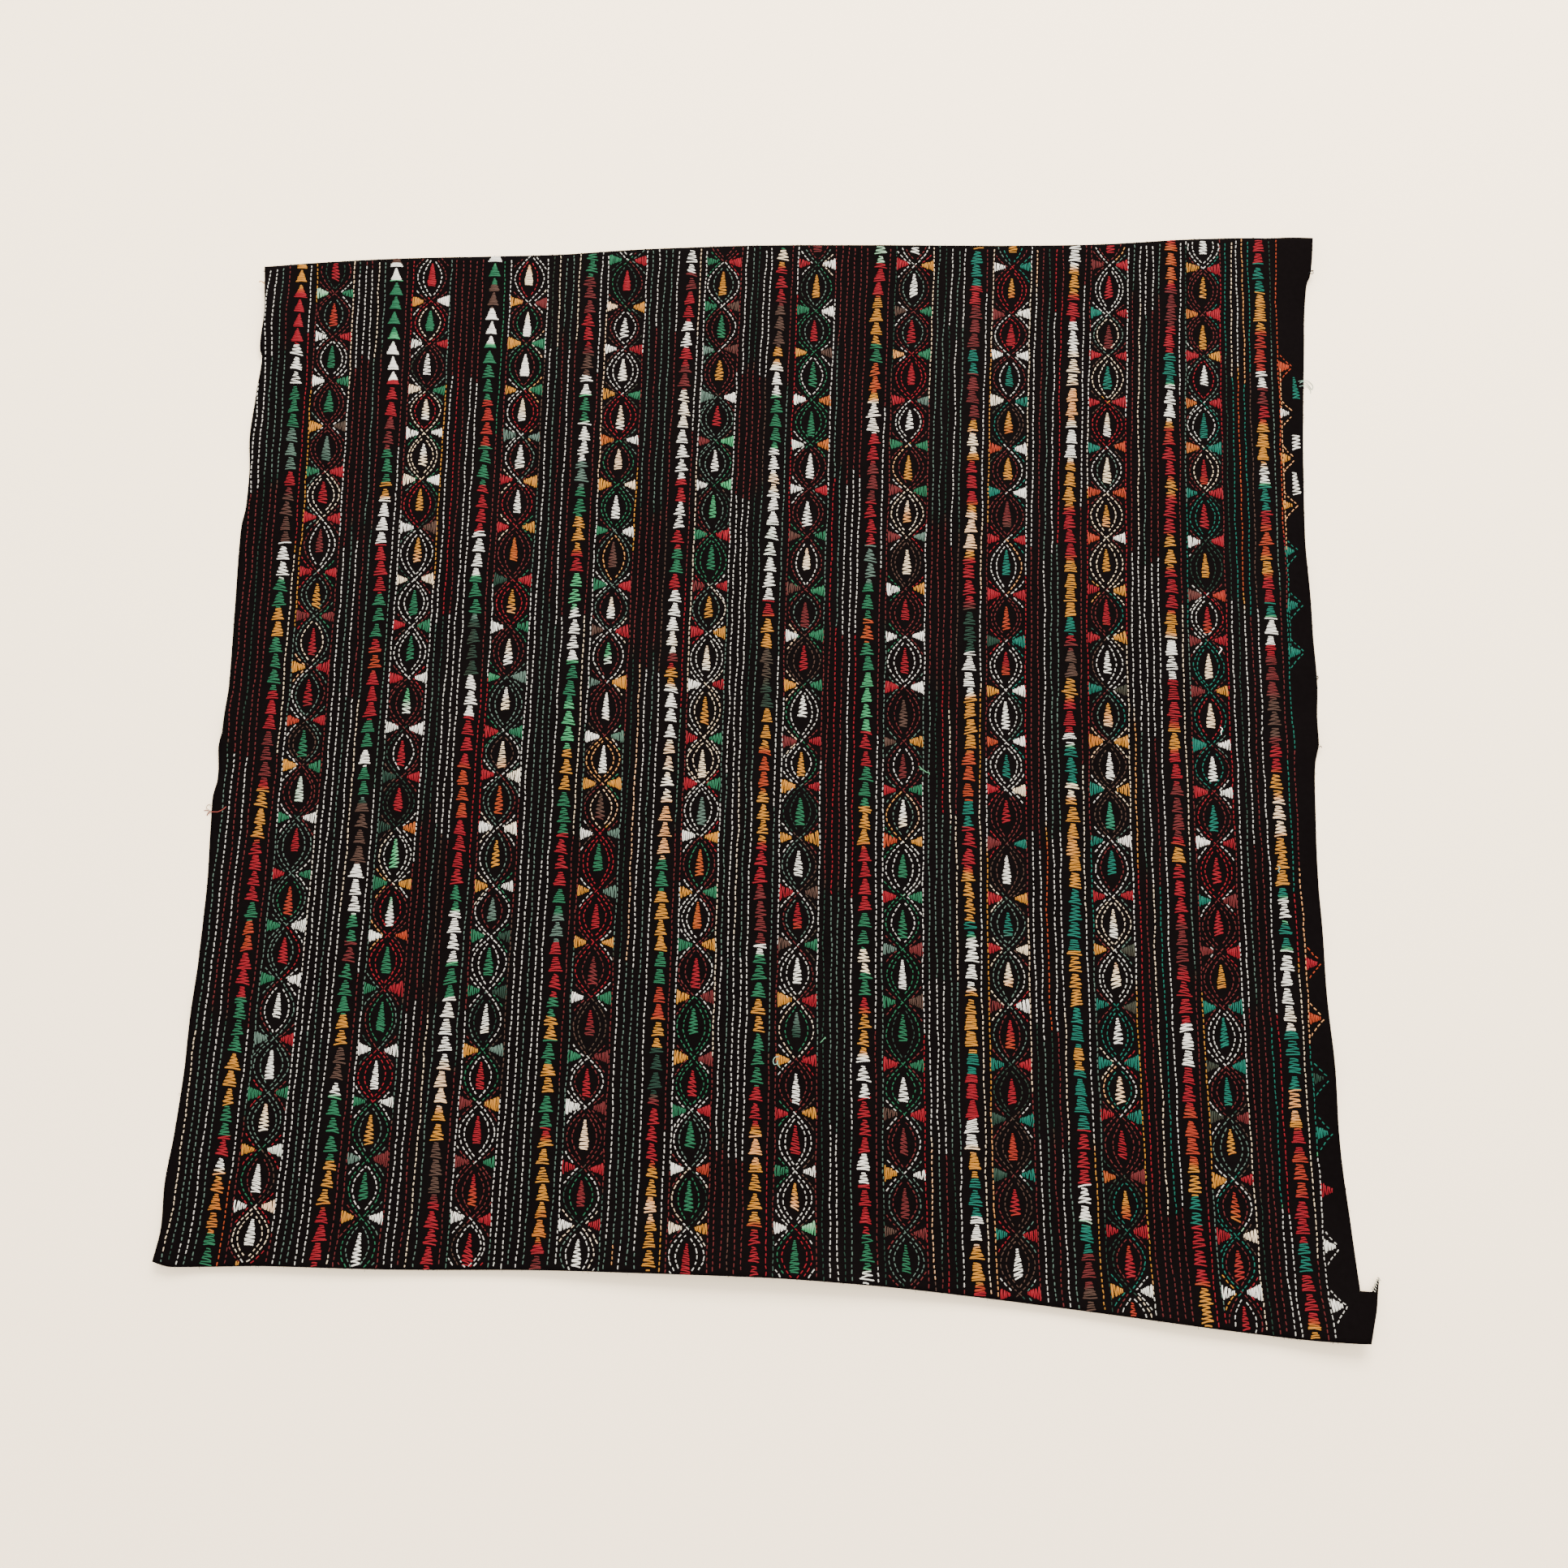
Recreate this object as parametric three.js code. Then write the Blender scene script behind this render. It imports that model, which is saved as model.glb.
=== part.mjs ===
// A blouse piece: one cut panel of black cotton, laid out flat, its edges lifting here and there.
// Millimetres, +Z up. The stripes of the cloth run along Y. The origin is the middle of the
// panel's box, on the surface it lies on, and every point that touches that surface is at z = 0.
import * as THREE from 'three';

// Driving dimensions
const THICKNESS = 1.2;
const SOUTH_WEST = { x: -450, y: -414.5 };
const NORTH_WEST = { x: -451.5, y: 405.5 };
const NORTH_EAST = { x: 450, y: 450 };
const SOUTH_EAST = { x: 430, y: -452 };
const CELLS_ACROSS = 38;
const CELLS_ALONG = 38;
const CROWDING = 0.4;      // how much closer the grid lines stand near the edges
const TAB_HEIGHT = 36;     // from the bottom edge up to the notch in the right edge
const TAB_CELLS = 2;

// The four edges as they were cut, each read smoothly between its rows
const TOP_EDGE = {
  x: [-451.5, -400, -330, -265, -205, -120, -15, 100, 190, 265, 355, 405, 425, 450],
  y: [405.5, 411, 416.5, 419.5, 422.5, 430, 436, 438.5, 440, 443, 450, 452, 452, 450],
};
const BOTTOM_EDGE = {
  x: [-450, -436, -412, -365, -287, -145, -90, -7, 76, 152, 245, 354, 398, 430],
  y: [-414.5, -418, -417.5, -416, -416.5, -414.3, -414.5, -415.4, -419.4, -426, -435.5, -447, -450.8, -452],
};
const LEFT_EDGE = {
  y: [-414.5, -391, -358, -324, -279, -218, -139, -89, -62, -48, -22, -9, 14, 92, 165, 185, 214,
    250, 289, 322.5, 324, 357, 385, 405.5],
  x: [-450, -448, -450.2, -447.5, -445.3, -443.7, -443.1, -445.2, -446.2, -443.8, -444.8, -442.5,
    -442.7, -444.9, -447.2, -445.1, -445, -447.5, -446.8, -444.3, -446.2, -444.4, -448, -451.5],
};
const RIGHT_EDGE = {
  y: [-452, -416, -375, -314, -250, -160, -100, -51, -12, -3, 10, 52, 100, 158, 245, 292, 342,
    406, 413, 450],
  x: [430, 436.4, 433.7, 429, 427.5, 424.5, 424, 425.2, 427.2, 429.8, 430, 432.5, 431, 429.5, 432,
    434.7, 438, 442.5, 445.5, 450],
};

// The torn tab beside the bottom right corner: one row for each grid line, from the corner up.
// The inner pair is the first column past the panel's own edge, the outer pair the last.
const TAB_ROWS = [
  { innerX: 434, innerY: -452, outerX: 438, outerY: -452 },
  { innerX: 440, innerY: -433, outerX: 446.5, outerY: -428 },
  { innerX: 445, innerY: -416.4, outerX: 451.5, outerY: -406.5 },
];

// Where the cloth rises off the surface: the middle of each swell, how far it reaches each way
// from there, and its height. Those with their middle past an edge lift that edge.
const SWELLS = [
  { x: -20, y: -470, reachX: 300, reachY: 110, lift: 26 },
  { x: -330, y: -470, reachX: 230, reachY: 95, lift: 15 },
  { x: 300, y: -480, reachX: 230, reachY: 90, lift: 14 },
  { x: 455, y: -470, reachX: 95, reachY: 75, lift: 12 },
  { x: -465, y: -430, reachX: 60, reachY: 90, lift: 8 },
  { x: -470, y: 355, reachX: 55, reachY: 60, lift: 14 },
  { x: -460, y: -5, reachX: 45, reachY: 40, lift: 7 },
  { x: -458, y: -235, reachX: 40, reachY: 45, lift: 4 },
  { x: -455, y: 240, reachX: 40, reachY: 45, lift: 3 },
  { x: 465, y: 430, reachX: 60, reachY: 70, lift: 7 },
  { x: 445, y: 130, reachX: 45, reachY: 50, lift: 4 },
  { x: 445, y: 0, reachX: 60, reachY: 28, lift: 4 },
  { x: 440, y: -155, reachX: 45, reachY: 45, lift: 3 },
  { x: 445, y: -255, reachX: 45, reachY: 50, lift: 4 },
  { x: -230, y: 90, reachX: 120, reachY: 300, lift: 2.2 },
  { x: 120, y: 180, reachX: 90, reachY: 260, lift: 2.6 },
  { x: 300, y: -60, reachX: 80, reachY: 230, lift: 2 },
];

// Height of the underside above the surface. A swell is a smooth dome, exactly zero past its reach.
function height(x, y) {
  let sum = 0;
  for (const swell of SWELLS) {
    const across = (x - swell.x) / swell.reachX;
    const along = (y - swell.y) / swell.reachY;
    const inside = Math.max(0, 1 - across * across - along * along);
    sum += swell.lift * inside * inside;
  }
  return sum;
}

// A smooth curve through a table's rows that never swings past them
function smoothThrough(keys, values) {
  const last = keys.length - 1;
  const slopes = [];
  for (let i = 0; i < last; i += 1) {
    slopes.push((values[i + 1] - values[i]) / (keys[i + 1] - keys[i]));
  }
  const tangents = [slopes[0]];
  for (let i = 1; i < last; i += 1) {
    const turns = slopes[i - 1] * slopes[i] <= 0;
    tangents.push(turns ? 0 : 2 / (1 / slopes[i - 1] + 1 / slopes[i]));
  }
  tangents.push(slopes[last - 1]);
  return (key) => {
    let i = 0;
    while (i < last - 1 && key > keys[i + 1]) {
      i += 1;
    }
    const span = keys[i + 1] - keys[i];
    const u = THREE.MathUtils.clamp((key - keys[i]) / span, 0, 1);
    const rise = u * u * (3 - 2 * u);
    const leave = u * (1 - u) * (1 - u) * span * tangents[i];
    const arrive = u * u * (1 - u) * span * tangents[i + 1];
    return values[i] + (values[i + 1] - values[i]) * rise + leave - arrive;
  };
}

const topY = smoothThrough(TOP_EDGE.x, TOP_EDGE.y);
const bottomY = smoothThrough(BOTTOM_EDGE.x, BOTTOM_EDGE.y);
const leftX = smoothThrough(LEFT_EDGE.y, LEFT_EDGE.x);
const rightX = smoothThrough(RIGHT_EDGE.y, RIGHT_EDGE.x);

const mix = THREE.MathUtils.lerp;

// The panel's point at shares s across and t along, filled in evenly from the four edges
function panelPoint(s, t) {
  const fromLeft = leftX(mix(SOUTH_WEST.y, NORTH_WEST.y, t));
  const fromRight = rightX(mix(SOUTH_EAST.y, NORTH_EAST.y, t));
  const fromBottom = bottomY(mix(SOUTH_WEST.x, SOUTH_EAST.x, s));
  const fromTop = topY(mix(NORTH_WEST.x, NORTH_EAST.x, s));
  return { x: mix(fromLeft, fromRight, s), y: mix(fromBottom, fromTop, t) };
}

// Shares from 0 to 1 that stand closer together near both ends
function crowded(count, index) {
  const u = index / count;
  return u - (CROWDING * Math.sin(2 * Math.PI * u)) / (2 * Math.PI);
}

// Rows of grid points, from the bottom edge up: the tab's rows first, each two points longer
function gridRows() {
  const tabShare = TAB_HEIGHT / (NORTH_EAST.y - SOUTH_EAST.y);
  const shares = [];
  for (let i = 0; i < TAB_CELLS; i += 1) {
    shares.push((tabShare * i) / TAB_CELLS);
  }
  for (let i = 0; i <= CELLS_ALONG; i += 1) {
    shares.push(mix(tabShare, 1, crowded(CELLS_ALONG, i)));
  }
  return shares.map((t, rowIndex) => {
    const row = [];
    for (let i = 0; i <= CELLS_ACROSS; i += 1) {
      row.push(panelPoint(crowded(CELLS_ACROSS, i), t));
    }
    const tab = TAB_ROWS[rowIndex];
    if (tab) {
      row.push({ x: tab.innerX, y: tab.innerY }, { x: tab.outerX, y: tab.outerY });
    }
    return row;
  });
}

// One closed sheet over the rows: an underside, a top one thickness above it, and a rim
function sheetGeometry(rows) {
  const positions = [];
  const under = rows.map((row) => row.map(({ x, y }) => {
    const z = height(x, y);
    positions.push(x, y, z, x, y, z + THICKNESS);
    return positions.length / 3 - 2;
  }));
  const above = (index) => index + 1;
  const triangles = [];
  const rim = new Map();

  // A triangle seen from above goes on both faces. An edge met once is part of the rim.
  function addTriangle(a, b, c) {
    triangles.push(above(a), above(b), above(c), c, b, a);
    for (const [from, to] of [[a, b], [b, c], [c, a]]) {
      if (!rim.delete(`${to} ${from}`)) {
        rim.set(`${from} ${to}`, [from, to]);
      }
    }
  }

  for (let j = 0; j + 1 < under.length; j += 1) {
    const cells = Math.min(under[j].length, under[j + 1].length) - 1;
    for (let i = 0; i < cells; i += 1) {
      const [southWest, southEast] = [under[j][i], under[j][i + 1]];
      const [northWest, northEast] = [under[j + 1][i], under[j + 1][i + 1]];
      if ((i + j) % 2 === 0) {
        addTriangle(southWest, southEast, northEast);
        addTriangle(southWest, northEast, northWest);
      } else {
        addTriangle(southWest, southEast, northWest);
        addTriangle(southEast, northEast, northWest);
      }
    }
  }
  for (const [from, to] of rim.values()) {
    triangles.push(from, to, above(to), from, above(to), above(from));
  }

  const geometry = new THREE.BufferGeometry();
  geometry.setAttribute('position', new THREE.Float32BufferAttribute(positions, 3));
  geometry.setIndex(triangles);
  geometry.computeVertexNormals();
  return geometry;
}

const blackCotton = new THREE.MeshStandardMaterial({ color: 0x151313, roughness: 0.95, metalness: 0 });

const cloth = new THREE.Mesh(sheetGeometry(gridRows()), blackCotton);
cloth.name = 'cloth';

const blousePiece = new THREE.Group();
blousePiece.add(cloth);

export default blousePiece;
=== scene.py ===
"""A black cotton blouse piece, worked all over in kantha running stitch and satin stitch.

The file is laid out as an add-on and run as a script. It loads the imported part, lays a fine
cloth over the folds of its one solid, and sews every stitch of the pattern into that cloth.
Sizes in the tables are millimetres, as in the part's source. Everything built is in metres.
"""

import math

import bpy
import numpy as np
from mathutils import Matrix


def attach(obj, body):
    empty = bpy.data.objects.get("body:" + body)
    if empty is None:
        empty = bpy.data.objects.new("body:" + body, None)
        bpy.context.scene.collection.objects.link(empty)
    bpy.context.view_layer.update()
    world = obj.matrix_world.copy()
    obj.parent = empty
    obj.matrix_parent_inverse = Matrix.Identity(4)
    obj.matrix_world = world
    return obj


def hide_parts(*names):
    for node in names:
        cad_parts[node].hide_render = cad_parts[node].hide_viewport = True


bl_info = {
    "name": "Kantha Blouse Piece",
    "version": (1, 0, 0),
    "blender": (4, 5, 0),
    "location": "View3D > Sidebar > Blouse piece",
    "description": "Lays out a black cotton blouse piece and sews its kantha pattern",
    "category": "Object",
}

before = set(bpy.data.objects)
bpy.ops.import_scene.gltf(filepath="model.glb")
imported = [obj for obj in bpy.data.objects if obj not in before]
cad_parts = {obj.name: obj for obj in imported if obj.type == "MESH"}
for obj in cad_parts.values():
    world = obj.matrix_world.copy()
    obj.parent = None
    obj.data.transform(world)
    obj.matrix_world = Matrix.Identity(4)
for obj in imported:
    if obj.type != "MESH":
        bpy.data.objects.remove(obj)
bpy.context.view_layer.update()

MM = 0.001

# The panel's corners and its four cut edges, as in the part's source
SOUTH_WEST = (-450, -414.5)
NORTH_WEST = (-451.5, 405.5)
NORTH_EAST = (450, 450)
SOUTH_EAST = (430, -452)
TOP_EDGE = {
    "x": [-451.5, -400, -330, -265, -205, -120, -15, 100, 190, 265, 355, 405, 425, 450],
    "y": [405.5, 411, 416.5, 419.5, 422.5, 430, 436, 438.5, 440, 443, 450, 452, 452, 450],
}
BOTTOM_EDGE = {
    "x": [-450, -436, -412, -365, -287, -145, -90, -7, 76, 152, 245, 354, 398, 430],
    "y": [-414.5, -418, -417.5, -416, -416.5, -414.3, -414.5, -415.4, -419.4, -426, -435.5,
          -447, -450.8, -452],
}
LEFT_EDGE = {
    "y": [-414.5, -391, -358, -324, -279, -218, -139, -89, -62, -48, -22, -9, 14, 92, 165, 185,
          214, 250, 289, 322.5, 324, 357, 385, 405.5],
    "x": [-450, -448, -450.2, -447.5, -445.3, -443.7, -443.1, -445.2, -446.2, -443.8, -444.8,
          -442.5, -442.7, -444.9, -447.2, -445.1, -445, -447.5, -446.8, -444.3, -446.2, -444.4,
          -448, -451.5],
}
RIGHT_EDGE = {
    "y": [-452, -416, -375, -314, -250, -160, -100, -51, -12, -3, 10, 52, 100, 158, 245, 292,
          342, 406, 413, 450],
    "x": [430, 436.4, 433.7, 429, 427.5, 424.5, 424, 425.2, 427.2, 429.8, 430, 432.5, 431,
          429.5, 432, 434.7, 438, 442.5, 445.5, 450],
}

# The torn tab: its height, and its inner and outer points at three levels from the corner up
TAB_HEIGHT = 36
TAB_LEVELS = [0, 0.5, 1]
TAB_INNER = {"x": [434, 440, 445], "y": [-452, -433, -416.4]}
TAB_OUTER = {"x": [438, 446.5, 451.5], "y": [-452, -428, -406.5]}
TAB_CELLS = 9
TAB_COLUMNS = 4
CROWDING = 0.25

# Swells that lift the cloth: middle x and y, reach along x and y, and height
SWELLS = [
    (-20, -470, 300, 110, 26),
    (-330, -470, 230, 95, 15),
    (300, -480, 230, 90, 14),
    (455, -470, 95, 75, 12),
    (-465, -430, 60, 90, 8),
    (-470, 355, 55, 60, 14),
    (-460, -5, 45, 40, 7),
    (-458, -235, 40, 45, 4),
    (-455, 240, 40, 45, 3),
    (465, 430, 60, 70, 7),
    (445, 130, 45, 50, 4),
    (445, 0, 60, 28, 4),
    (440, -155, 45, 45, 3),
    (445, -255, 45, 50, 4),
    (-230, 90, 120, 300, 2.2),
    (120, 180, 90, 260, 2.6),
    (300, -60, 80, 230, 2),
]

# Old fold lines, pressed flat: both ends, half width and depth of each soft trough
FOLD_LINES = [
    ((330, -2), (432, -4), 7, 0.9),
    ((-30, 3), (330, -2), 8, 0.35),
    ((437, -418), (439, -440), 4, 0.7),
]

# Heights of the pucker: what follows the stitched rows, what waves across them, and its middle
PUCKER_ROWS = 0.10
PUCKER_WAVES = 0.14
PUCKER_MIDDLE = 0.24

# Each column of triangles: at, lean and bow of its middle line x = at + lean * u + bow * u * u,
# where u = y / COLUMN_REACH
COLUMN_REACH = 450
COLUMNS = [
    (-407.4, -4.3, -10.4), (-327.6, -3.4, -8.2), (-248.4, -1.9, -3.8), (-168.1, -0.5, -1.8),
    (-87.4, 1.0, 2.1), (-10.8, 1.4, 3.7), (69.9, 2.0, 6.4), (151.9, 2.9, 7.8),
    (233.3, 3.8, 10.0), (315.8, 3.8, 9.9), (396.2, 2.5, 5.7),
]
LAST_COLUMN = len(COLUMNS) - 1

# One repeat of the stripes, measured across from a column of triangles to the next
REPEAT = 83.3
BESIDE_TRIANGLES = 9.0
LEFT_BORDER = 14.2
OVALS_MIDDLE = 30.2
RIGHT_BORDER = 46.4
BORDER_BY_SIDE = {-1: LEFT_BORDER, 1: RIGHT_BORDER}
BAND_LINES = [51.1, 56.8, 62.0, 67.7, 73.1]
LINE_BOTTOM, LINE_TOP = -462, 462
LINE_STEP = 2.0

# The ovals meet at crossings, in rows that are common to all columns but for a small shift
CROSSING_PITCH = 42.1
CROSSING_ROWS = [
    -464, -422, -382, -340, -297, -258, -213, -171, -130, -86, -44, -5, 39, 82, 122, 168, 210,
    251, 292, 335, 375, 419, 461,
]
COLUMN_SHIFTS = [7.0, 1.0, 2.0, 0, 0, 0, 0, 0, 2.5, 2.5, -5.0]
CROSSING_SEED = 100

OUTER_OVAL_HALF = 12.7
OUTER_OVAL_STEP = 1.5
OUTER_OVAL_PAST = 20
OVAL_SIZE_WAVE = (0.05, 1.7)
INNER_OVAL_HALF = 8.7
INNER_OVAL_INSET = 4.0
INNER_OVAL_POINTS = 30
INNER_OVAL_FULLNESS = 0.92
FRAME_APEX = 3.3
FRAME_UP = 12.8
FRAME_DOWN = 14.2
FRAME_BEND = 0.9
FRAME_POINTS = 12
FRAME_THREAD = 45.0

TRIANGLE_PITCH = 13.0
TRIANGLE_HALF = 5.8
TRIANGLE_HEIGHT = 11.9
TRIANGLE_TIPS = [(1.2, 2.0), (1.6, 3.4)]
TRIANGLE_STEP = 1.52
TRIANGLE_FIRST = 0.55
TRIANGLE_TIP_PAST = 9
DROP_TOP = 8.8
DROP_LENGTH = 22.0
DROP_SHAPE = {"share": [0, 0.25, 0.5, 0.7, 0.88, 1], "half": [0.7, 1.8, 2.9, 3.6, 3.8, 3.2]}
DROP_STEP = 1.55
DROP_CHANGES = [0, 0, 0.05, -0.05]
FAN_HALF = 5.7
FAN_TIP_SHARE = 0.2
FAN_DEPTH = 10.0
FAN_STEP = 1.25
FAN_FIRST = 0.4
FAN_INSET = 0.8

# Closely sewn motifs at the top of the first columns: how many of each, by column
SOLID_TRIANGLES = {0: 6, 1: 9, 2: 8}
SOLID_TRIANGLE_PITCH = 13.8
SOLID_TRIANGLE_TIP = 0.6
SOLID_TRIANGLE_STEP = 0.86
SOLID_MOTIFS = {1: 3, 2: 4, 3: 2}
SOLID_MOTIF_STEP = 1.0
SOLID_SLANT = (0.1, 0.0)

# How far the strokes of each motif take on the hand's zigzag and lean
SLANTS = {"triangle": (0.7, 0.8), "drop": (0.9, 1.3), "fan": (0.35, 0.4)}
SATIN_BOW = 0.35
BOW_SPREAD = 0.5

# Short strokes near a tip tilt and bow less: the half width of a full one, and the most of it
STROKE_SCALES = {"tilt": (3, 1.4), "bow": (4, 1.3)}

# The thread's shades in the order in which they follow each other along the skein
SHADES = {
    "white": 0.04, "cream": 0.11, "peach": 0.15, "gold": 0.215, "vermilion": 0.29, "red": 0.365,
    "maroon": 0.475, "brown": 0.553, "bottle": 0.612, "sage": 0.685, "emerald": 0.81,
    "mint": 0.93,
}

# How much of the stitching is sewn in each shade with the first dye lot, and with the second,
# whose lines are warmer and brighter and which is used from column SECOND_LOT_FROM on
SECOND_LOT_FROM = 7
SECOND_LOT_LINES = {
    "white": 0.28, "cream": 0.05, "peach": 0.04, "gold": 0.01, "vermilion": 0.02, "red": 0.08,
    "maroon": 0.25, "brown": 0.02, "bottle": 0.05, "sage": 0.08, "emerald": 0.12,
}
SECOND_LOT_MOTIFS = {
    "white": 0.16, "cream": 0.05, "peach": 0.02, "gold": 0.18, "vermilion": 0.03, "red": 0.24,
    "maroon": 0.05, "brown": 0.02, "bottle": 0.03, "emerald": 0.22,
}
SHARES = {
    "triangles": [
        {"white": 0.20, "cream": 0.04, "peach": 0.02, "gold": 0.15, "vermilion": 0.03,
         "red": 0.22, "maroon": 0.04, "brown": 0.05, "bottle": 0.02, "sage": 0.02,
         "emerald": 0.23, "mint": 0.02},
        SECOND_LOT_MOTIFS,
    ],
    "motifs": [
        {"white": 0.25, "cream": 0.04, "peach": 0.03, "gold": 0.13, "vermilion": 0.02,
         "red": 0.22, "maroon": 0.04, "brown": 0.03, "bottle": 0.03, "sage": 0.03,
         "emerald": 0.20, "mint": 0.02},
        SECOND_LOT_MOTIFS,
    ],
    "borders": [
        {"white": 0.35, "cream": 0.04, "peach": 0.01, "gold": 0.01, "vermilion": 0.01,
         "red": 0.03, "maroon": 0.26, "brown": 0.02, "bottle": 0.05, "sage": 0.21,
         "emerald": 0.01},
        SECOND_LOT_LINES,
    ],
    "ovals": [
        {"white": 0.36, "cream": 0.05, "peach": 0.01, "red": 0.07, "maroon": 0.24,
         "brown": 0.03, "bottle": 0.04, "sage": 0.12, "emerald": 0.08},
        SECOND_LOT_LINES,
    ],
}

# A band's five lines change colour together. Each block of a band follows one of these.
BAND_BLOCK = 165
BLOCK_ODDS = [0.25, 0.38, 0.37]
BLOCK_SHARES = [
    {"maroon": 0.78, "red": 0.05, "bottle": 0.05, "brown": 0.06, "sage": 0.06},
    {"white": 0.47, "sage": 0.40, "cream": 0.06, "bottle": 0.07},
    {"white": 0.30, "sage": 0.32, "maroon": 0.24, "red": 0.03, "peach": 0.02, "cream": 0.03,
     "bottle": 0.06},
]
FIRST_LOT_BLOCKS = 0.35

# Along each kind of sewing: the length over which its colours run, and that of one mean run
COLOUR_RUNS = {
    "borders": (940, 150), "frames": (1400, 90), "triangles": (960, 31), "drops": (1000, 48),
    "fans": (1000, 46),
}
ENDLESS = 2000.0

# The most of a mean run that the first run may have lost before the line starts
FIRST_LOSS = 0.8

# The length over which one colour turns into the next, for colours that are close on the skein
BLENDS = {"band": 22, "border": 18, "outer oval": 6, "line": 10, "triangle": 11, "motif": 4}
CLOSE_ON_SKEIN = 0.27
NEIGHBOUR_ODDS = 2.5
PLACE_SPREAD = 0.02
RUN_PLACE_SPREAD = 0.03

# How often the thread is changed after an oval and the hand's slant before a triangle, and how
# often an oval's outer and inner lines are sewn in the oval's own shade
OVAL_CHANGE = 0.7
SLANT_CHANGE = 0.4
OUTER_LIKENESS = 0.75
INNER_LIKENESS = 0.6

# How a hand strays. Each pair is the least and the most that a size is multiplied by.
FACTORS = {
    "block": (0.5, 1.5),
    "run": (0.45, 1.55),
    "wave": (0.3, 1.0),
    "oval": (0.9, 1.08),
    "frame": (0.93, 1.07),
    "frame tip": (0.8, 1.25),
    "triangle": (0.94, 1.06),
    "triangle half": (0.84, 1.08),
    "triangle step": (0.8, 1.15),
    "drop": (0.84, 1.06),
    "drop top": (0.9, 1.25),
    "drop step": (0.85, 1.15),
    "fan": (0.86, 1.1),
    "fan step": (0.75, 1.15),
    "motif half": (0.88, 1.1),
    "zigzag": (0.5, 1.6),
}

# Sizes that stray round their mean: deviation, least and most
ERRORS = {
    "length": (0.13, 0.62, 1.5), "gap": (0.18, 0.5, 1.7), "width": (0.09, 0.72, 1.25),
    "satin reach": (0.06, 0.8, 1.2), "satin width": (0.08, 0.75, 1.2),
}

# Deviations in millimetres of what isn't in its place
STRAYS = {
    "stitch end": 0.19, "crossing": 0.7, "block end": 4, "oval end": 3, "oval middle": 0.3,
    "tilt": 0.2, "satin end": 0.14, "lean": 0.7, "triangle middle": 0.25, "drop middle": 0.3,
    "fan middle": 0.5,
}

# A line's wandering: how far, and the lengths of its three waves
WANDERINGS = {
    "band": (0.55, (34, 71, 157)), "border": (0.4, (34, 71, 157)), "oval": (0.35, (23, 49, 96)),
    "triangles": (0.7, (41, 90, 210)),
}
WAVE_SIZES = np.array([0.5, 0.8, 1.0])

# The border beside the margin: where each shade ends, down from the top, and the shade
MARGIN_LINE = {
    300: "vermilion", 350: "maroon", 470: "emerald", 560: "maroon", 700: "peach",
    790: "emerald", 960: "white",
}

# The unfinished motifs of the right margin, by the number of their row from the bottom
MARGIN_FANS = {
    1: "white", 2: "white", 3: "red", 4: "emerald", 5: "bottle", 6: "vermilion", 7: "red",
    13: "emerald", 14: "emerald", 15: "emerald", 16: "gold", 17: "gold", 18: "white",
    19: "vermilion",
}
MARGIN_FRAMES = {
    1: "white", 2: "white", 4: "emerald", 5: "emerald", 6: "peach", 7: "vermilion", 13: "emerald",
    14: "emerald", 15: "emerald", 16: "peach", 17: "peach", 18: "peach", 19: "vermilion",
}
# The three drops: shade, how far under their row they start, length, and half widths at both ends
MARGIN_DROPS = {
    17: ("white", 12.0, 20.0, (1.6, 3.7)),
    18: ("white", 20.0, 13.0, (3.3, 3.7)),
    19: ("emerald", 9.3, 20.5, (0.8, 3.6)),
}
MARGIN_DROP_INSET = 9.4
MARGIN_DROP_SLANT = (1.3, 0.8)
MARGIN_FAN_DEPTH = 8.4
MARGIN_JOINED_ROWS = {"peach": (15, 19), "emerald": (13, 15)}
MARGIN_JOINED_LINE = LEFT_BORDER + 1.8

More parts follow.
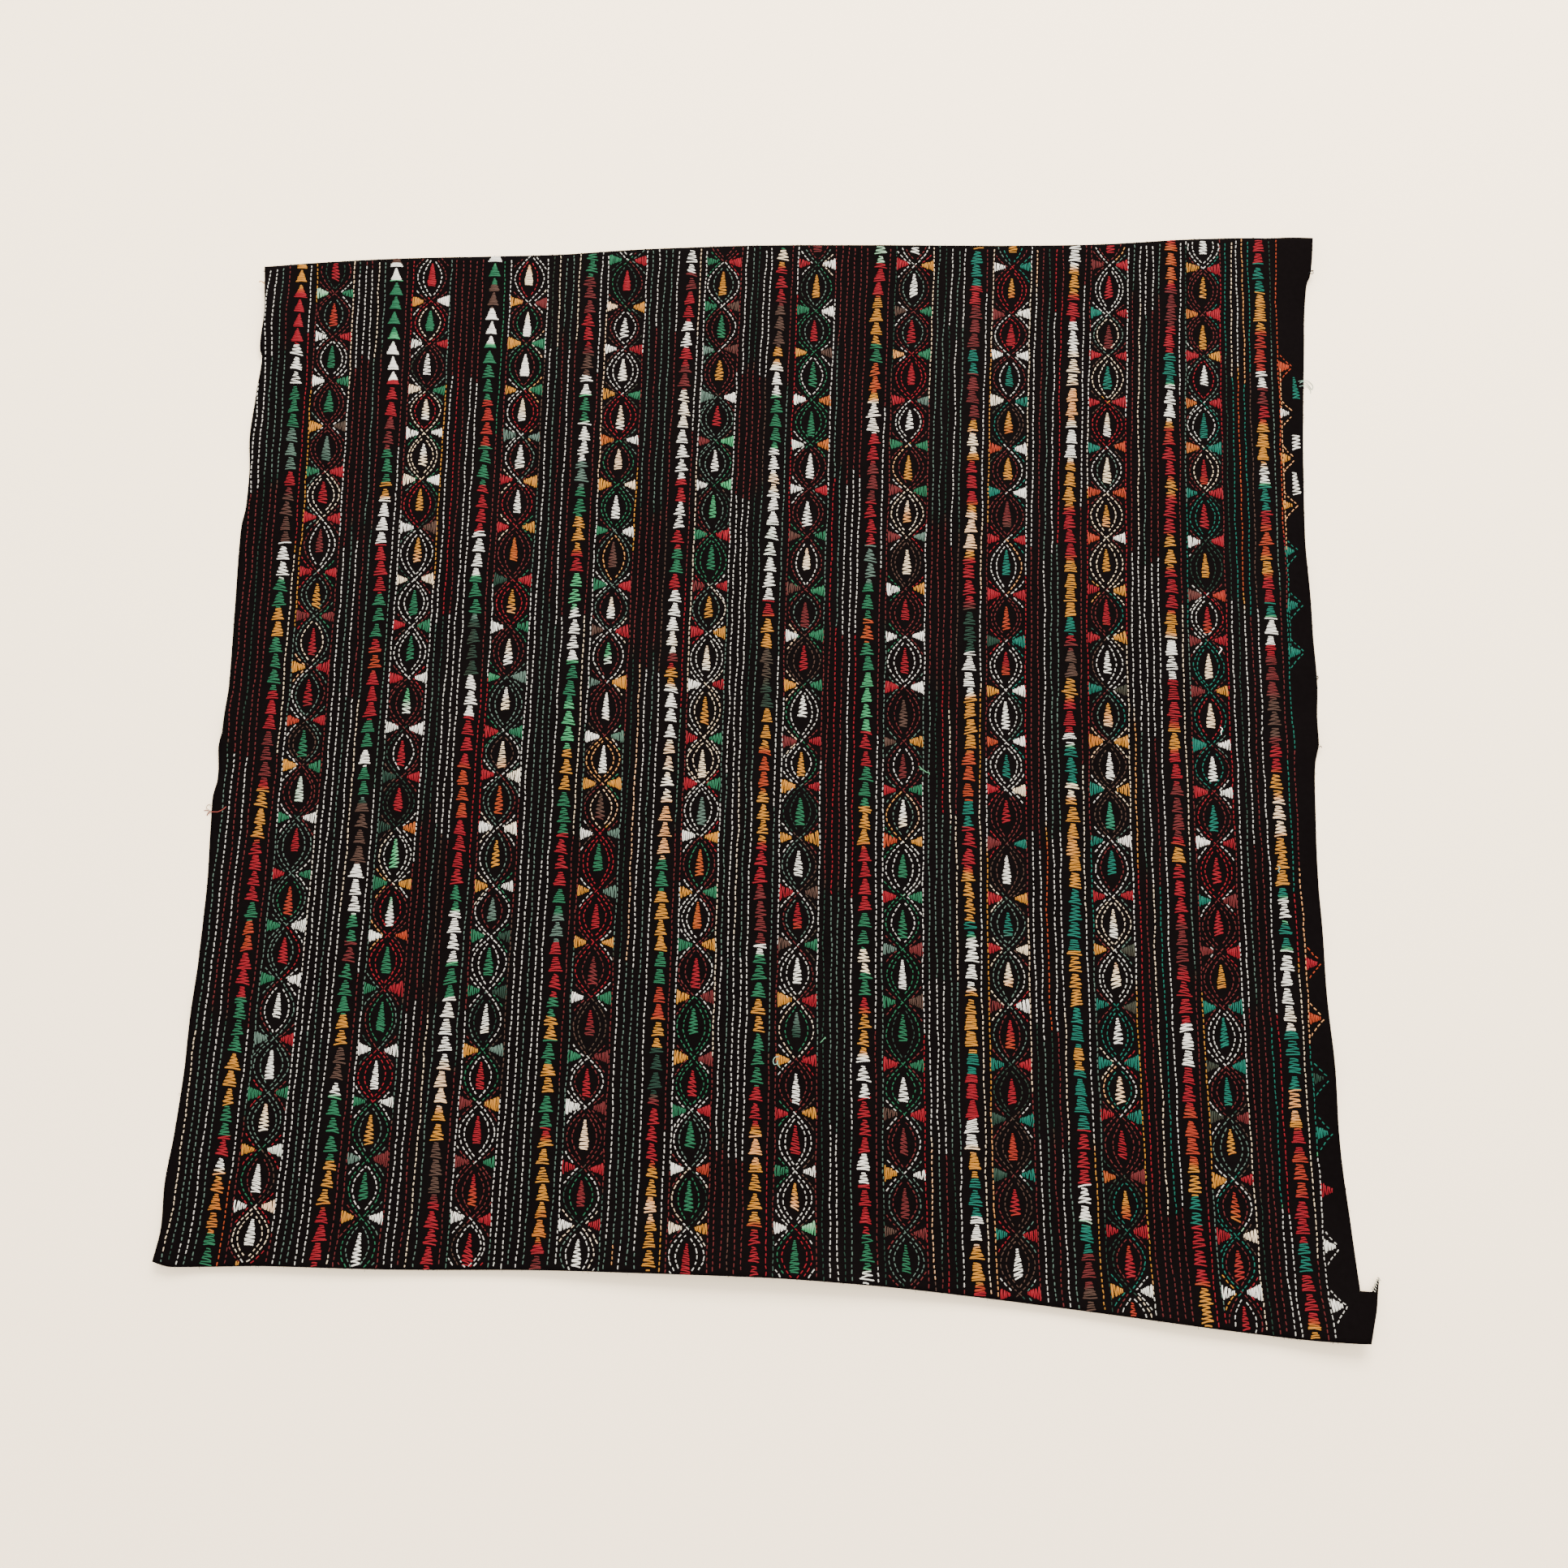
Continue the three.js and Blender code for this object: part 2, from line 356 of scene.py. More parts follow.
# Loose ends: shade, radius and points, with the height over the face as the third value
LOOSE_THREADS = [
    ("sage", 0.26, [
        (431.5, 316.8, 0.2), (435.2, 317.3, 0.3), (438.4, 317.8, 0.1), (442.1, 316.0, -0.6),
        (444.2, 312.6, -0.9), (443.0, 309.9, -0.8), (440.9, 312.9, -0.5), (438.2, 315.5, 0.0),
        (435.1, 316.2, 0.5), (432.6, 315.0, 0.3)]),
    ("sage", 0.24, [
        (431.9, 312.0, 0.2), (434.9, 312.7, 0.4), (437.7, 313.0, 0.0), (440.8, 311.0, -0.7),
        (442.0, 307.9, -0.9), (441.6, 306.2, -1.0)]),
    ("rose", 0.42, [
        (-434.6, -70.2, -0.1), (-435.6, -71.6, 0.5), (-438.6, -73.8, 0.6), (-441.5, -74.8, 0.5),
        (-446.0, -74.8, 0.4), (-448.2, -75.6, -0.1), (-449.6, -77.6, -0.8)]),
    ("rose", 0.3, [
        (-444.5, -74.9, 0.6), (-447.2, -74.4, 0.5), (-449.6, -73.4, -0.3), (-452.4, -73.6, -0.9)]),
    ("sand", 0.24, [
        (-445.5, -74.2, 0.6), (-448.6, -72.9, 0.4), (-450.4, -71.2, -0.4), (-449.9, -69.2, -0.7),
        (-447.8, -68.6, -0.5), (-446.8, -70.4, 0.2)]),
    ("mint", 0.36, [
        (112.0, -25.3, 0.3), (113.8, -27.4, 0.7), (115.9, -29.0, 0.9), (118.2, -30.5, 0.7),
        (120.0, -30.6, 0.5), (120.4, -32.3, -0.1)]),
    ("mint", 0.26, [(112.2, -27.6, 0.2), (114.2, -28.4, 0.5), (115.9, -29.0, 0.9)]),
    ("sage", 0.34, [
        (6.0, -255.4, 0.2), (3.2, -256.0, 0.6), (1.7, -258.9, 0.8), (2.7, -261.5, 0.8),
        (4.7, -260.9, 0.9), (4.9, -258.5, 0.8), (5.5, -261.6, 0.5), (7.3, -264.0, 0.2)]),
    ("mint", 0.34, [
        (37.3, -244.4, -0.1), (39.3, -242.2, 0.6), (41.0, -240.3, 0.9), (41.2, -241.5, 0.6)]),
    ("white", 0.36, [
        (355.2, 79.6, -0.1), (356.6, 77.4, 0.7), (355.2, 75.2, 0.9), (353.9, 73.2, 0.5)]),
    ("white", 0.34, [
        (352.4, 12.2, -0.1), (354.1, 10.2, 0.7), (352.9, 7.9, 0.8), (353.4, 5.6, 0.2)]),
    ("sage", 0.3, [
        (392.6, -99.8, -0.1), (394.4, -101.4, 0.7), (393.0, -103.6, 0.7), (394.2, -105.2, 0.2)]),
    ("gold", 0.4, [
        (-448.4, 386.6, -0.1), (-450.2, 388.2, 0.4), (-451.9, 388.9, 0.0), (-453.1, 387.9, -0.5)]),
    ("black", 0.36, [
        (443.6, 415.2, 0.0), (445.4, 416.9, 0.5), (447.4, 417.6, 0.3), (448.3, 416.2, -0.2),
        (446.9, 415.0, 0.3), (445.2, 416.0, 0.9), (446.6, 417.9, 0.6), (448.9, 418.3, -0.4)]),
    ("black", 0.34, [
        (430.2, 54.6, 0.0), (431.9, 56.3, 0.5), (433.5, 55.6, 0.2), (432.6, 54.0, 0.4),
        (431.4, 55.4, 0.8), (433.8, 57.0, -0.3)]),
    ("black", 0.3, [
        (427.6, -2.6, 0.0), (429.6, -3.6, 0.4), (431.2, -2.6, -0.1), (432.0, -4.2, -0.6)]),
]
LOOSE_SHADES = {
    "sage": (104, 132, 118), "rose": (100, 43, 38), "sand": (141, 124, 99), "mint": (70, 117, 84),
    "white": (226, 220, 206), "gold": (152, 96, 0), "black": (7, 6, 6),
}
PALE_WEFT = (205, 200, 176)
THREAD_SIDES = 6
THREAD_STEPS = 5
THREAD_PINCH = 0.45

# The torn edge of the tab, from the notch to its tip, where pale threads stand among black ones.
# Each kind has its number of ends and the least and most width of one.
FRAY_START = (445.4, -415.6)
FRAY_END = (451.4, -406.7)
FRAY_WAY = (128, 13)
FRAY_INNER = (1.0, 2.4)
FRAY_OUTER = (0.8, 1.9)
FRAY_ENDS = {"pale": (6, 0.55, 0.95), "black": (14, 0.2, 0.45)}
FRAY_SPREAD = 0.02

# Fibres on each cut edge: how many, which way is out in degrees, and the stretch they stand on
FIBRE_EDGES = {
    "top": (190, 90, (-448, 428)), "bottom": (190, -90, (-448, 428)),
    "left": (90, 180, (-410.5, 403.5)), "right": (90, 0, (-410.5, 403.5)),
}
FIBRE_FAN = 38
FIBRE_ROOT = 0.6
FIBRE_REACH = {"shape": 2.0, "scale": 0.34}
FIBRE_LIMITS = (0.2, 1.9)
FIBRE_WIDTH = (0.12, 0.24)

# One stitch of thread: how far its shoulders stand apart, and its segments along
STITCH_SHAPES = {"running": (0.72, 1), "satin": (0.86, 2)}
STITCH_SIDES = 3
RING_RADIUS = 1.0
END_RADIUS = 0.5
THICK_SHARE = 0.7
WIDE_SHARE = 0.577
LIFT_SHARE = 0.3
HELPER_FIELDS = ("width", "place", "strand", "run", "up", "bow", "along", "aside")

# The thread's map: places on the skein along U, and the two dye lots one over the other along V
BAKE_MAP = "OFBake"
MAP_MARGIN = 0.006
LOT_HEIGHT = 0.5
STRAND_SPREAD = (0.03, 0.47)

# Roughness, depth of the painted shade in the twist's grooves, unevenness, and painted shade on pale
# shades of the two threads, and the twist's turns per unit of U and of V: three turns of the ply show
# across each stitch's small part of the map
THREAD_FINISHES = {
    "running_thread": (0.68, 0.30, 0.35, 0.68),
    "satin_thread": (0.55, 0.24, 0.35, 0.47),
}
THREAD_SPECULAR = 0.08
PLAIN_ROUGHNESS = 0.8
PLY_TURNS = (620.0, 300.0)
PLY_ROUNDNESS = 0.6

# Noises of the finishes as scale and detail, shades from them as factor and least, and bumps as
# strength and distance
DYE_NOISE = (55.0, 2.0)
SLUB_NOISE = (260.0, 3.0)
WORN_NOISE = (9.0, 4.0)
DRAWN_NOISE = (85.0, 2.0)
FLOOR_NOISE = (1.1, 3.0)
WORN_SHADE = (0.5, 0.55)
FLOOR_SHADE = (0.04, 0.98)
SLUB_SHADE = 0.4
SLUB_HEIGHT = 0.6
COTTON_SPECULAR = 0.006
DRAWN_STRETCH = (2.0, 0.7, 1.0)
DRAWN_BUMP = (0.5, 0.8 * MM)
WEAVE_BUMP = (0.35, 0.08 * MM)
FLOOR_FINISH = (0.95, 0.1)

# The camera that the photograph was taken with, and the lights, in metres and degrees
CAMERA_PLACE = (0.01157, -0.33215, 1.20913)
CAMERA_TILT = 13.5
CAMERA_ROLL = 1.2527
CAMERA_REACH = (0.01, 50)
LENS = 36.0
SENSOR = 36.0
FLOOR_HALF = 4.0
WINDOW_SIZE = (1.6, 1.2)
WINDOW_COLOUR = (1.0, 0.985, 0.96)
ROOM_COLOUR = (1.0, 0.99, 0.975, 1)

# What each operator adds to the seed, and what the stitches on the back add to their piece's
SEEDS = {"bands": 0, "ovals": 2, "satin": 5, "loose ends": 9}
BACK_SEED = 50


def srgb(red, green, blue):
    """Linear colour of an sRGB colour given in steps of 255."""
    share = np.array([red, green, blue]) / 255
    linear = np.where(share <= 0.04045, share / 12.92, ((share + 0.055) / 1.055) ** 2.4)
    return tuple(float(value) for value in linear)


# Shades that the skein passes through on its way from one named colour to the next
CREAM = srgb(231, 207, 170)
PEACH = srgb(188, 128, 76)
VERMILION = srgb(130, 46, 22)
MINT = srgb(56, 132, 84)

# Sizes and colours that a user may change


def length_setting(name, description, millimetres):
    return bpy.props.FloatProperty(
        name=name, description=description, default=millimetres * MM, unit="LENGTH"
    )


def colour_setting(name, description, *steps):
    """A colour whose default is given in steps of 255."""
    return bpy.props.FloatVectorProperty(
        name=name, description=description, default=srgb(*steps), size=3, subtype="COLOR"
    )


class ClothSettings(bpy.types.PropertyGroup):
    cells: bpy.props.IntProperty(
        name="Cells", description="Grid cells along each side of the cloth", default=172, min=20
    )
    thickness: length_setting("Thickness", "Thickness of the cotton alone", 0.55)
    bed: length_setting("Bed", "Height of the underside over its stitches", 0.35)
    thread_gap: length_setting("Weave pitch", "Distance between two threads of the weave", 0.42)
    colour: colour_setting("Cotton", "Dye of the cotton", 7, 5, 5)


class ThreadSettings(bpy.types.PropertyGroup):
    width: length_setting("Thread width", "Width of a running stitch", 1.04)
    satin_width: length_setting("Satin width", "Width of one satin stroke", 1.3)
    rise: length_setting("Rise", "Height of a stitch over the cloth", 0.5)
    stitch: length_setting("Stitch", "Length of a running stitch on the face", 3.0)
    gap: length_setting("Gap", "Gap between two running stitches", 1.15)
    seed: bpy.props.IntProperty(
        name="Seed", description="Choice of the hand's small errors and of the threads", default=7
    )
    white: colour_setting("White", "White of the skein", 248, 242, 228)
    gold: colour_setting("Gold", "Golden orange of the skein", 154, 100, 30)
    red: colour_setting("Red", "Red of the skein", 110, 13, 23)
    maroon: colour_setting("Maroon", "Darkest red of the skein", 76, 25, 25)
    brown: colour_setting("Brown", "Brown of the skein", 60, 42, 34)
    bottle: colour_setting("Bottle green", "Darkest green of the skein", 22, 42, 32)
    sage: colour_setting("Sage", "Pale grey-green of the skein", 66, 83, 73)
    emerald: colour_setting("Emerald", "Green of the skein's first dye lot", 24, 76, 50)
    teal: colour_setting("Teal", "Green of the skein's second dye lot", 12, 77, 63)


class StageSettings(bpy.types.PropertyGroup):
    floor: colour_setting("Floor", "Colour of the pale floor", 251, 229, 197)
    key_power: bpy.props.FloatProperty(
        name="Key light", description="Power of the window light in watts", default=180.0
    )
    fill: bpy.props.FloatProperty(
        name="Fill light", description="Strength of the light from all round", default=2.85
    )


# The cloth's shape


def smooth_through(keys, values):
    """A smooth curve through a table's rows that never swings past them."""
    keys, values = np.array(keys, float), np.array(values, float)
    slopes = np.diff(values) / np.diff(keys)
    tangents = np.concatenate([slopes[:1], np.zeros(len(slopes) - 1), slopes[-1:]])
    for i in range(1, len(slopes)):
        if slopes[i - 1] * slopes[i] > 0:
            tangents[i] = 2 / (1 / slopes[i - 1] + 1 / slopes[i])

    def curve(key):
        key = np.asarray(key, float)
        i = np.clip(np.searchsorted(keys, key) - 1, 0, len(keys) - 2)
        span = keys[i + 1] - keys[i]
        u = np.clip((key - keys[i]) / span, 0, 1)
        rise = u * u * (3 - 2 * u)
        leave = u * (1 - u) ** 2 * span * tangents[i]
        arrive = u * u * (1 - u) * span * tangents[i + 1]
        return values[i] + (values[i + 1] - values[i]) * rise + leave - arrive

    return curve


top_y = smooth_through(TOP_EDGE["x"], TOP_EDGE["y"])
bottom_y = smooth_through(BOTTOM_EDGE["x"], BOTTOM_EDGE["y"])
left_x = smooth_through(LEFT_EDGE["y"], LEFT_EDGE["x"])
right_x = smooth_through(RIGHT_EDGE["y"], RIGHT_EDGE["x"])


def mix(start, end, share):
    return start + (end - start) * share


def swell_height(x, y):
    """Height of the underside over the surface, as in the part's source."""
    total = np.zeros(np.broadcast(x, y).shape)
    for middle_x, middle_y, reach_x, reach_y, lift in SWELLS:
        inside = 1 - ((x - middle_x) / reach_x) ** 2 - ((y - middle_y) / reach_y) ** 2
        total = total + lift * np.maximum(0, inside) ** 2
    return total


def fold_depth(x, y):
    """Depth of the old fold lines at a point of the cloth."""
    total = np.zeros(np.broadcast(x, y).shape)
    for (x0, y0), (x1, y1), half_width, depth in FOLD_LINES:
        run = math.hypot(x1 - x0, y1 - y0)
        along = ((x - x0) * (x1 - x0) + (y - y0) * (y1 - y0)) / run
        aside = ((x - x0) * (y1 - y0) - (y - y0) * (x1 - x0)) / run
        past = np.maximum(np.maximum(-along, along - run), 0)
        total = total + depth * np.exp(-(aside**2 + past**2) / half_width**2)
    return total


def pucker(x, y):
    """The cloth's small unevenness where rows of stitches draw it in, from waves of many lengths."""
    rows = np.sin(x / 13.3 + 1.7 * np.sin(y / 61)) * np.sin(y / 23 + 2.1 * np.sin(x / 47))
    waves = np.sin(x / 31 + y / 83 + 0.8) * np.sin(y / 37 - x / 120 + 2.0)
    return PUCKER_ROWS * rows + PUCKER_WAVES * waves + PUCKER_MIDDLE


def lie(x, y):
    """Height of the cloth's underside over the floor, in millimetres."""
    bed = bpy.context.scene.blouse_cloth.bed / MM
    return swell_height(x, y) + bed + np.maximum(pucker(x, y) - fold_depth(x, y), 0)


def on_face(points):
    """Points of the embroidered face, in metres, from x and y in millimetres."""
    height = lie(points[:, 0], points[:, 1]) * MM + bpy.context.scene.blouse_cloth.thickness
    return np.column_stack([points[:, :2] * MM, height])


def face_normal(x, y):
    """Unit normals of the embroidered face."""
    step = 1.0
    slope_x = (lie(x + step, y) - lie(x - step, y)) / (2 * step)
    slope_y = (lie(x, y + step) - lie(x, y - step)) / (2 * step)
    normal = np.stack([-slope_x, -slope_y, np.ones_like(slope_x)], -1)
    return normal / np.linalg.norm(normal, axis=-1, keepdims=True)


# Meshes and objects


def new_object(name, mesh):
    piece = bpy.data.objects.new(name, mesh)
    bpy.context.scene.collection.objects.link(piece)
    return piece


def sew_on(piece):
    """The piece moves with the cloth."""
    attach(piece, "root")
    return piece


def smooth_mesh(name, verts, faces):
    mesh = bpy.data.meshes.new(name)
    mesh.from_pydata(verts, [], faces)
    mesh.validate()
    mesh.polygons.foreach_set("use_smooth", np.ones(len(mesh.polygons), bool))
    mesh.update()
    return mesh


def crowded(count):
    """Shares from 0 to 1 that stand closer together near both ends."""
    u = np.linspace(0, 1, count + 1)
    return u - CROWDING * np.sin(2 * np.pi * u) / (2 * np.pi)


def panel_rows(cells):
    """Rows of grid points over the panel, from the bottom edge up. Those beside the tab are longer."""
    tab_share = TAB_HEIGHT / (NORTH_EAST[1] - SOUTH_EAST[1])
    levels = np.linspace(0, 1, TAB_CELLS + 1)
    tab_rows = {"x": [], "y": []}
    for key, rows in tab_rows.items():
        inner = np.interp(levels, TAB_LEVELS, TAB_INNER[key])
        outer = np.interp(levels, TAB_LEVELS, TAB_OUTER[key])
        rows += [mix(a, b, np.linspace(0, 1, TAB_COLUMNS)) for a, b in zip(inner, outer)]
    across_share = crowded(cells)
    shares = [tab_share * level for level in levels[:-1]]
    rows = []
    for number, share in enumerate([*shares, *mix(tab_share, 1, crowded(cells))]):
        from_left = left_x(mix(SOUTH_WEST[1], NORTH_WEST[1], share))
        from_right = right_x(mix(SOUTH_EAST[1], NORTH_EAST[1], share))
        x = mix(from_left, from_right, across_share)
        low = bottom_y(mix(SOUTH_WEST[0], SOUTH_EAST[0], across_share))
        high = top_y(mix(NORTH_WEST[0], NORTH_EAST[0], across_share))
        y = mix(low, high, share)
        if number <= TAB_CELLS:
            x = np.concatenate([x, tab_rows["x"][number]])
            y = np.concatenate([y, tab_rows["y"][number]])
        rows.append(np.stack([x, y], 1))
    return rows


def sheet_mesh(name, rows):
    """A closed sheet over the rows: an underside, a face one thickness above it, and a rim."""
    starts = np.cumsum([0] + [len(row) for row in rows])
    flat = np.concatenate(rows)
    count = len(flat)
    under = np.column_stack([flat * MM, lie(flat[:, 0], flat[:, 1]) * MM])
    above = under + (0, 0, bpy.context.scene.blouse_cloth.thickness)
    quads = []
    for j in range(len(rows) - 1):
        cells = min(len(rows[j]), len(rows[j + 1])) - 1
        a = starts[j] + np.arange(cells)
        b = starts[j + 1] + np.arange(cells)
        quads.append(np.stack([a, a + 1, b + 1, b], 1))
    quads = np.concatenate(quads)
    edges = np.concatenate([quads[:, [0, 1]], quads[:, [1, 2]], quads[:, [2, 3]], quads[:, [3, 0]]])
    there = {tuple(edge) for edge in edges.tolist()}
    rim = [(a, b) for a, b in there if (b, a) not in there]
    faces = (quads + count).tolist() + quads[:, ::-1].tolist()
    faces += [[a, b, b + count, a + count] for a, b in sorted(rim)]
    return smooth_mesh(name, np.concatenate([under, above]).tolist(), faces)


# Node trees

SOCKET_TYPES = {float: "Float", int: "Int", bool: "Bool"}


class Graph:
    """Builds a node tree. Each input takes another node's output or a plain value."""

    def __init__(self, tree):
        self.tree = tree

    def feed(self, socket, value):
        if isinstance(value, bpy.types.NodeSocket):
            self.tree.links.new(value, socket)
        else:
            socket.default_value = value

    def add(self, kind, inputs=None, **settings):
        """Adds a node, makes its settings, then feeds its inputs by their name or number."""
        node = self.tree.nodes.new(kind)
        for key, value in settings.items():
            setattr(node, key, value)
        for key, value in (inputs or {}).items():
            self.feed(node.inputs[key], value)
        return node

    def maths(self, operation, *values):
        return self.add("ShaderNodeMath", dict(enumerate(values)), operation=operation).outputs[0]

    def combine(self, *values):
        return self.add("ShaderNodeCombineXYZ", dict(enumerate(values))).outputs[0]

    def split(self, vector):
        node = self.add("ShaderNodeSeparateXYZ", {0: vector})
        return [node.outputs[axis] for axis in "XYZ"]

    def noise(self, place, scale, detail, **settings):
        inputs = {"Vector": place, "Scale": scale, "Detail": detail}
        return self.add("ShaderNodeTexNoise", inputs, **settings).outputs["Fac"]

    def shade(self, colour, value):
        """The colour made lighter or darker by a factor."""
        inputs = {"Color": colour, "Value": value}
        return self.add("ShaderNodeHueSaturation", inputs).outputs["Color"]

    def bump(self, height, strength, distance, **others):
        inputs = {"Strength": strength, "Distance": distance, "Height": height, **others}
        return self.add("ShaderNodeBump", inputs).outputs["Normal"]

    def move(self, geometry, **places):
        inputs = {"Geometry": geometry, **places}
        return self.add("GeometryNodeSetPosition", inputs).outputs["Geometry"]

    def read(self, name, kind="FLOAT"):
        inputs = {"Name": name}
        node = self.add("GeometryNodeInputNamedAttribute", inputs, data_type=kind)
        return node.outputs["Attribute"]

    def store(self, geometry, name, value, kind="FLOAT", domain="POINT"):
        inputs = {"Geometry": geometry, "Name": name, "Value": value}
        kinds = {"data_type": kind, "domain": domain}
        return self.add("GeometryNodeStoreNamedAttribute", inputs, **kinds).outputs["Geometry"]


def new_group(name, kind, inputs, outputs):
    """A node group. Each named socket has its default value, or else its type."""
    tree = bpy.data.node_groups.new(name, kind)
    for way, sockets in (("INPUT", inputs), ("OUTPUT", outputs)):
        for label, value in sockets.items():
            typed = isinstance(value, str)
            socket_type = "NodeSocket" + (value if typed else SOCKET_TYPES[type(value)])
            socket = tree.interface.new_socket(label, in_out=way, socket_type=socket_type)
            if not typed:
                socket.default_value = value
    graph = Graph(tree)
    return graph, graph.add("NodeGroupInput").outputs, graph.add("NodeGroupOutput").inputs


def new_material(name, roughness, specular):
    """A material, its graph and the inputs of its Principled shader."""
    material = bpy.data.materials.new(name)
    material.use_nodes = True
    shader = material.node_tree.nodes["Principled BSDF"].inputs
    shader["Roughness"].default_value = roughness
    shader["Specular IOR Level"].default_value = specular
    return material, Graph(material.node_tree), shader


# Finishes


def skein_stops(green):
    """Ramp stops of one dye lot: flats of pure colour with short changes between them."""
    threads = bpy.context.scene.blouse_threads
    return [
        (0.0, threads.white), (0.075, threads.white),
        (0.10, CREAM), (0.12, CREAM),
        (0.15, PEACH),
        (0.18, threads.gold), (0.25, threads.gold),
        (0.285, VERMILION), (0.295, VERMILION),
        (0.33, threads.red), (0.40, threads.red),
        (0.44, threads.maroon), (0.51, threads.maroon),
        (0.54, threads.brown), (0.565, threads.brown),
        (0.60, threads.bottle), (0.625, threads.bottle),
        (0.665, threads.sage), (0.705, threads.sage),
        (0.745, green), (0.88, green),
        (0.93, MINT),
        (0.965, threads.white), (1.0, threads.white),
    ]


def skein_group():
    """Node group: the variegated thread's colour at a place on the skein, for both dye lots, with
    painted shade in the grooves of its twist and on its pale shades.
    """
    threads = bpy.context.scene.blouse_threads
    sockets = {"Skein map": "Vector", "Painted groove shade": 0.2, "Unevenness": 0.25, "Dullness": 0.2}
    graph, entry, leave = new_group("Variegated skein", "ShaderNodeTree", sockets, {"Color": "Color"})
    maths = graph.maths
    along, aside, _ = graph.split(entry["Skein map"])
    lots = []
    for green in (threads.emerald, threads.teal):
        ramp = graph.add("ShaderNodeValToRGB", {"Fac": along})
        elements = ramp.color_ramp.elements
        elements.remove(elements[1])
        for position, colour in skein_stops(green):
            element = elements.new(position) if position else elements[0]
            element.color = (*colour, 1)
        lots.append(ramp.outputs["Color"])
    second_lot = maths("GREATER_THAN", aside, LOT_HEIGHT)
    inputs = {"Factor": second_lot, "A": lots[0], "B": lots[1]}
    colour = graph.add("ShaderNodeMix", inputs, data_type="RGBA").outputs["Result"]
    # Painted shade: the grooves between the twist's plies are darkened in the colour itself
    turns = maths("ADD", maths("MULTIPLY", along, PLY_TURNS[0]), maths("MULTIPLY", aside, PLY_TURNS[1]))
    ply = maths("POWER", maths("ABSOLUTE", maths("SINE", turns)), PLY_ROUNDNESS)
    painted_groove_shade = maths("MULTIPLY", maths("SUBTRACT", 1.0, ply), entry["Painted groove shade"])
    dye = graph.noise(entry["Skein map"], *DYE_NOISE, noise_dimensions="2D")
    drift = maths("MULTIPLY", maths("SUBTRACT", dye, 0.5), entry["Unevenness"])
    value = maths("ADD", maths("SUBTRACT", 1.0, painted_groove_shade), drift)
    # Pale shades are painted darker, as painted shade where they are pulled into the dark cloth
    paleness = graph.add("ShaderNodeRGBToBW", {"Color": colour}).outputs["Val"]
    loss = maths("MULTIPLY", paleness, entry["Dullness"])
    value = maths("MULTIPLY", value, maths("SUBTRACT", 1.0, loss))
    graph.feed(leave["Color"], graph.shade(colour, value))
    return graph.tree


def thread_material(name):
    """Embroidery thread, made once. Its colour is read from the stitch's own place on the skein, with
    painted shade in the twist's grooves and on pale shades.
    """
    found = bpy.data.materials.get(name)
    if found:
        return found
    roughness, groove_shade, unevenness, sink_shade = THREAD_FINISHES[name]
    material, graph, shader = new_material(name, roughness, THREAD_SPECULAR)
    skein = bpy.data.node_groups.get("Variegated skein") or skein_group()
    inputs = {
        "Skein map": graph.add("ShaderNodeUVMap", uv_map=BAKE_MAP).outputs["UV"],
        "Painted groove shade": groove_shade, "Unevenness": unevenness, "Dullness": sink_shade,
    }
    colour = graph.add("ShaderNodeGroup", inputs, node_tree=skein).outputs["Color"]
    graph.feed(shader["Base Color"], colour)
    return material


def plain_thread(name, colour):
    """A loose thread or fibre in one colour."""
    material, graph, shader = new_material(name, PLAIN_ROUGHNESS, THREAD_SPECULAR)
    graph.feed(shader["Base Color"], (*colour, 1))
    return material


def weave_group():
    """Node group: height and shade of a plain weave in the cloth's own coordinates."""
    sockets = {"Place": "Vector", "Pitch": 0.42 * MM}
    results = {"Height": "Float", "Shade": "Float"}
    graph, entry, leave = new_group("Plain weave", "ShaderNodeTree", sockets, results)
    maths = graph.maths
    waves = []
    for along in graph.split(entry["Place"])[:2]:
        turn = maths("DIVIDE", along, entry["Pitch"])
        waves.append(maths("SINE", maths("MULTIPLY", turn, math.pi)))
    height = maths("MULTIPLY_ADD", maths("MULTIPLY", *waves), 0.5, 0.5)
    slub = graph.noise(entry["Place"], *SLUB_NOISE)
    worn = graph.noise(entry["Place"], *WORN_NOISE)
    graph.feed(leave["Height"], maths("MULTIPLY_ADD", slub, SLUB_HEIGHT, height))
    broad = maths("MULTIPLY_ADD", worn, *WORN_SHADE)
    fine = maths("MULTIPLY", slub, SLUB_SHADE)
    graph.feed(leave["Shade"], maths("ADD", broad, fine))
    return graph.tree


def cotton_material(name):
    """Black cotton: a fine plain weave, a little worn to brown here and there."""
    cloth = bpy.context.scene.blouse_cloth
    material, graph, shader = new_material(name, 1.0, COTTON_SPECULAR)
    place = graph.add("ShaderNodeTexCoord").outputs["Object"]
    inputs = {"Place": place, "Pitch": cloth.thread_gap}
    weave = graph.add("ShaderNodeGroup", inputs, node_tree=weave_group()).outputs
    graph.feed(shader["Base Color"], graph.shade((*cloth.colour, 1), weave["Shade"]))
    stretch = graph.add("ShaderNodeMapping", {"Vector": place, "Scale": DRAWN_STRETCH})
    drawn = graph.noise(stretch.outputs["Vector"], *DRAWN_NOISE)
    puckers = graph.bump(drawn, *DRAWN_BUMP)
    graph.feed(shader["Normal"], graph.bump(weave["Height"], *WEAVE_BUMP, Normal=puckers))
    return material


def floor_material(name):
    material, graph, shader = new_material(name, *FLOOR_FINISH)
    place = graph.add("ShaderNodeTexCoord").outputs["Object"]
    value = graph.maths("MULTIPLY_ADD", graph.noise(place, *FLOOR_NOISE), *FLOOR_SHADE)
    colour = (*bpy.context.scene.blouse_stage.floor, 1)
    graph.feed(shader["Base Color"], graph.shade(colour, value))
    return material


# The hand's errors


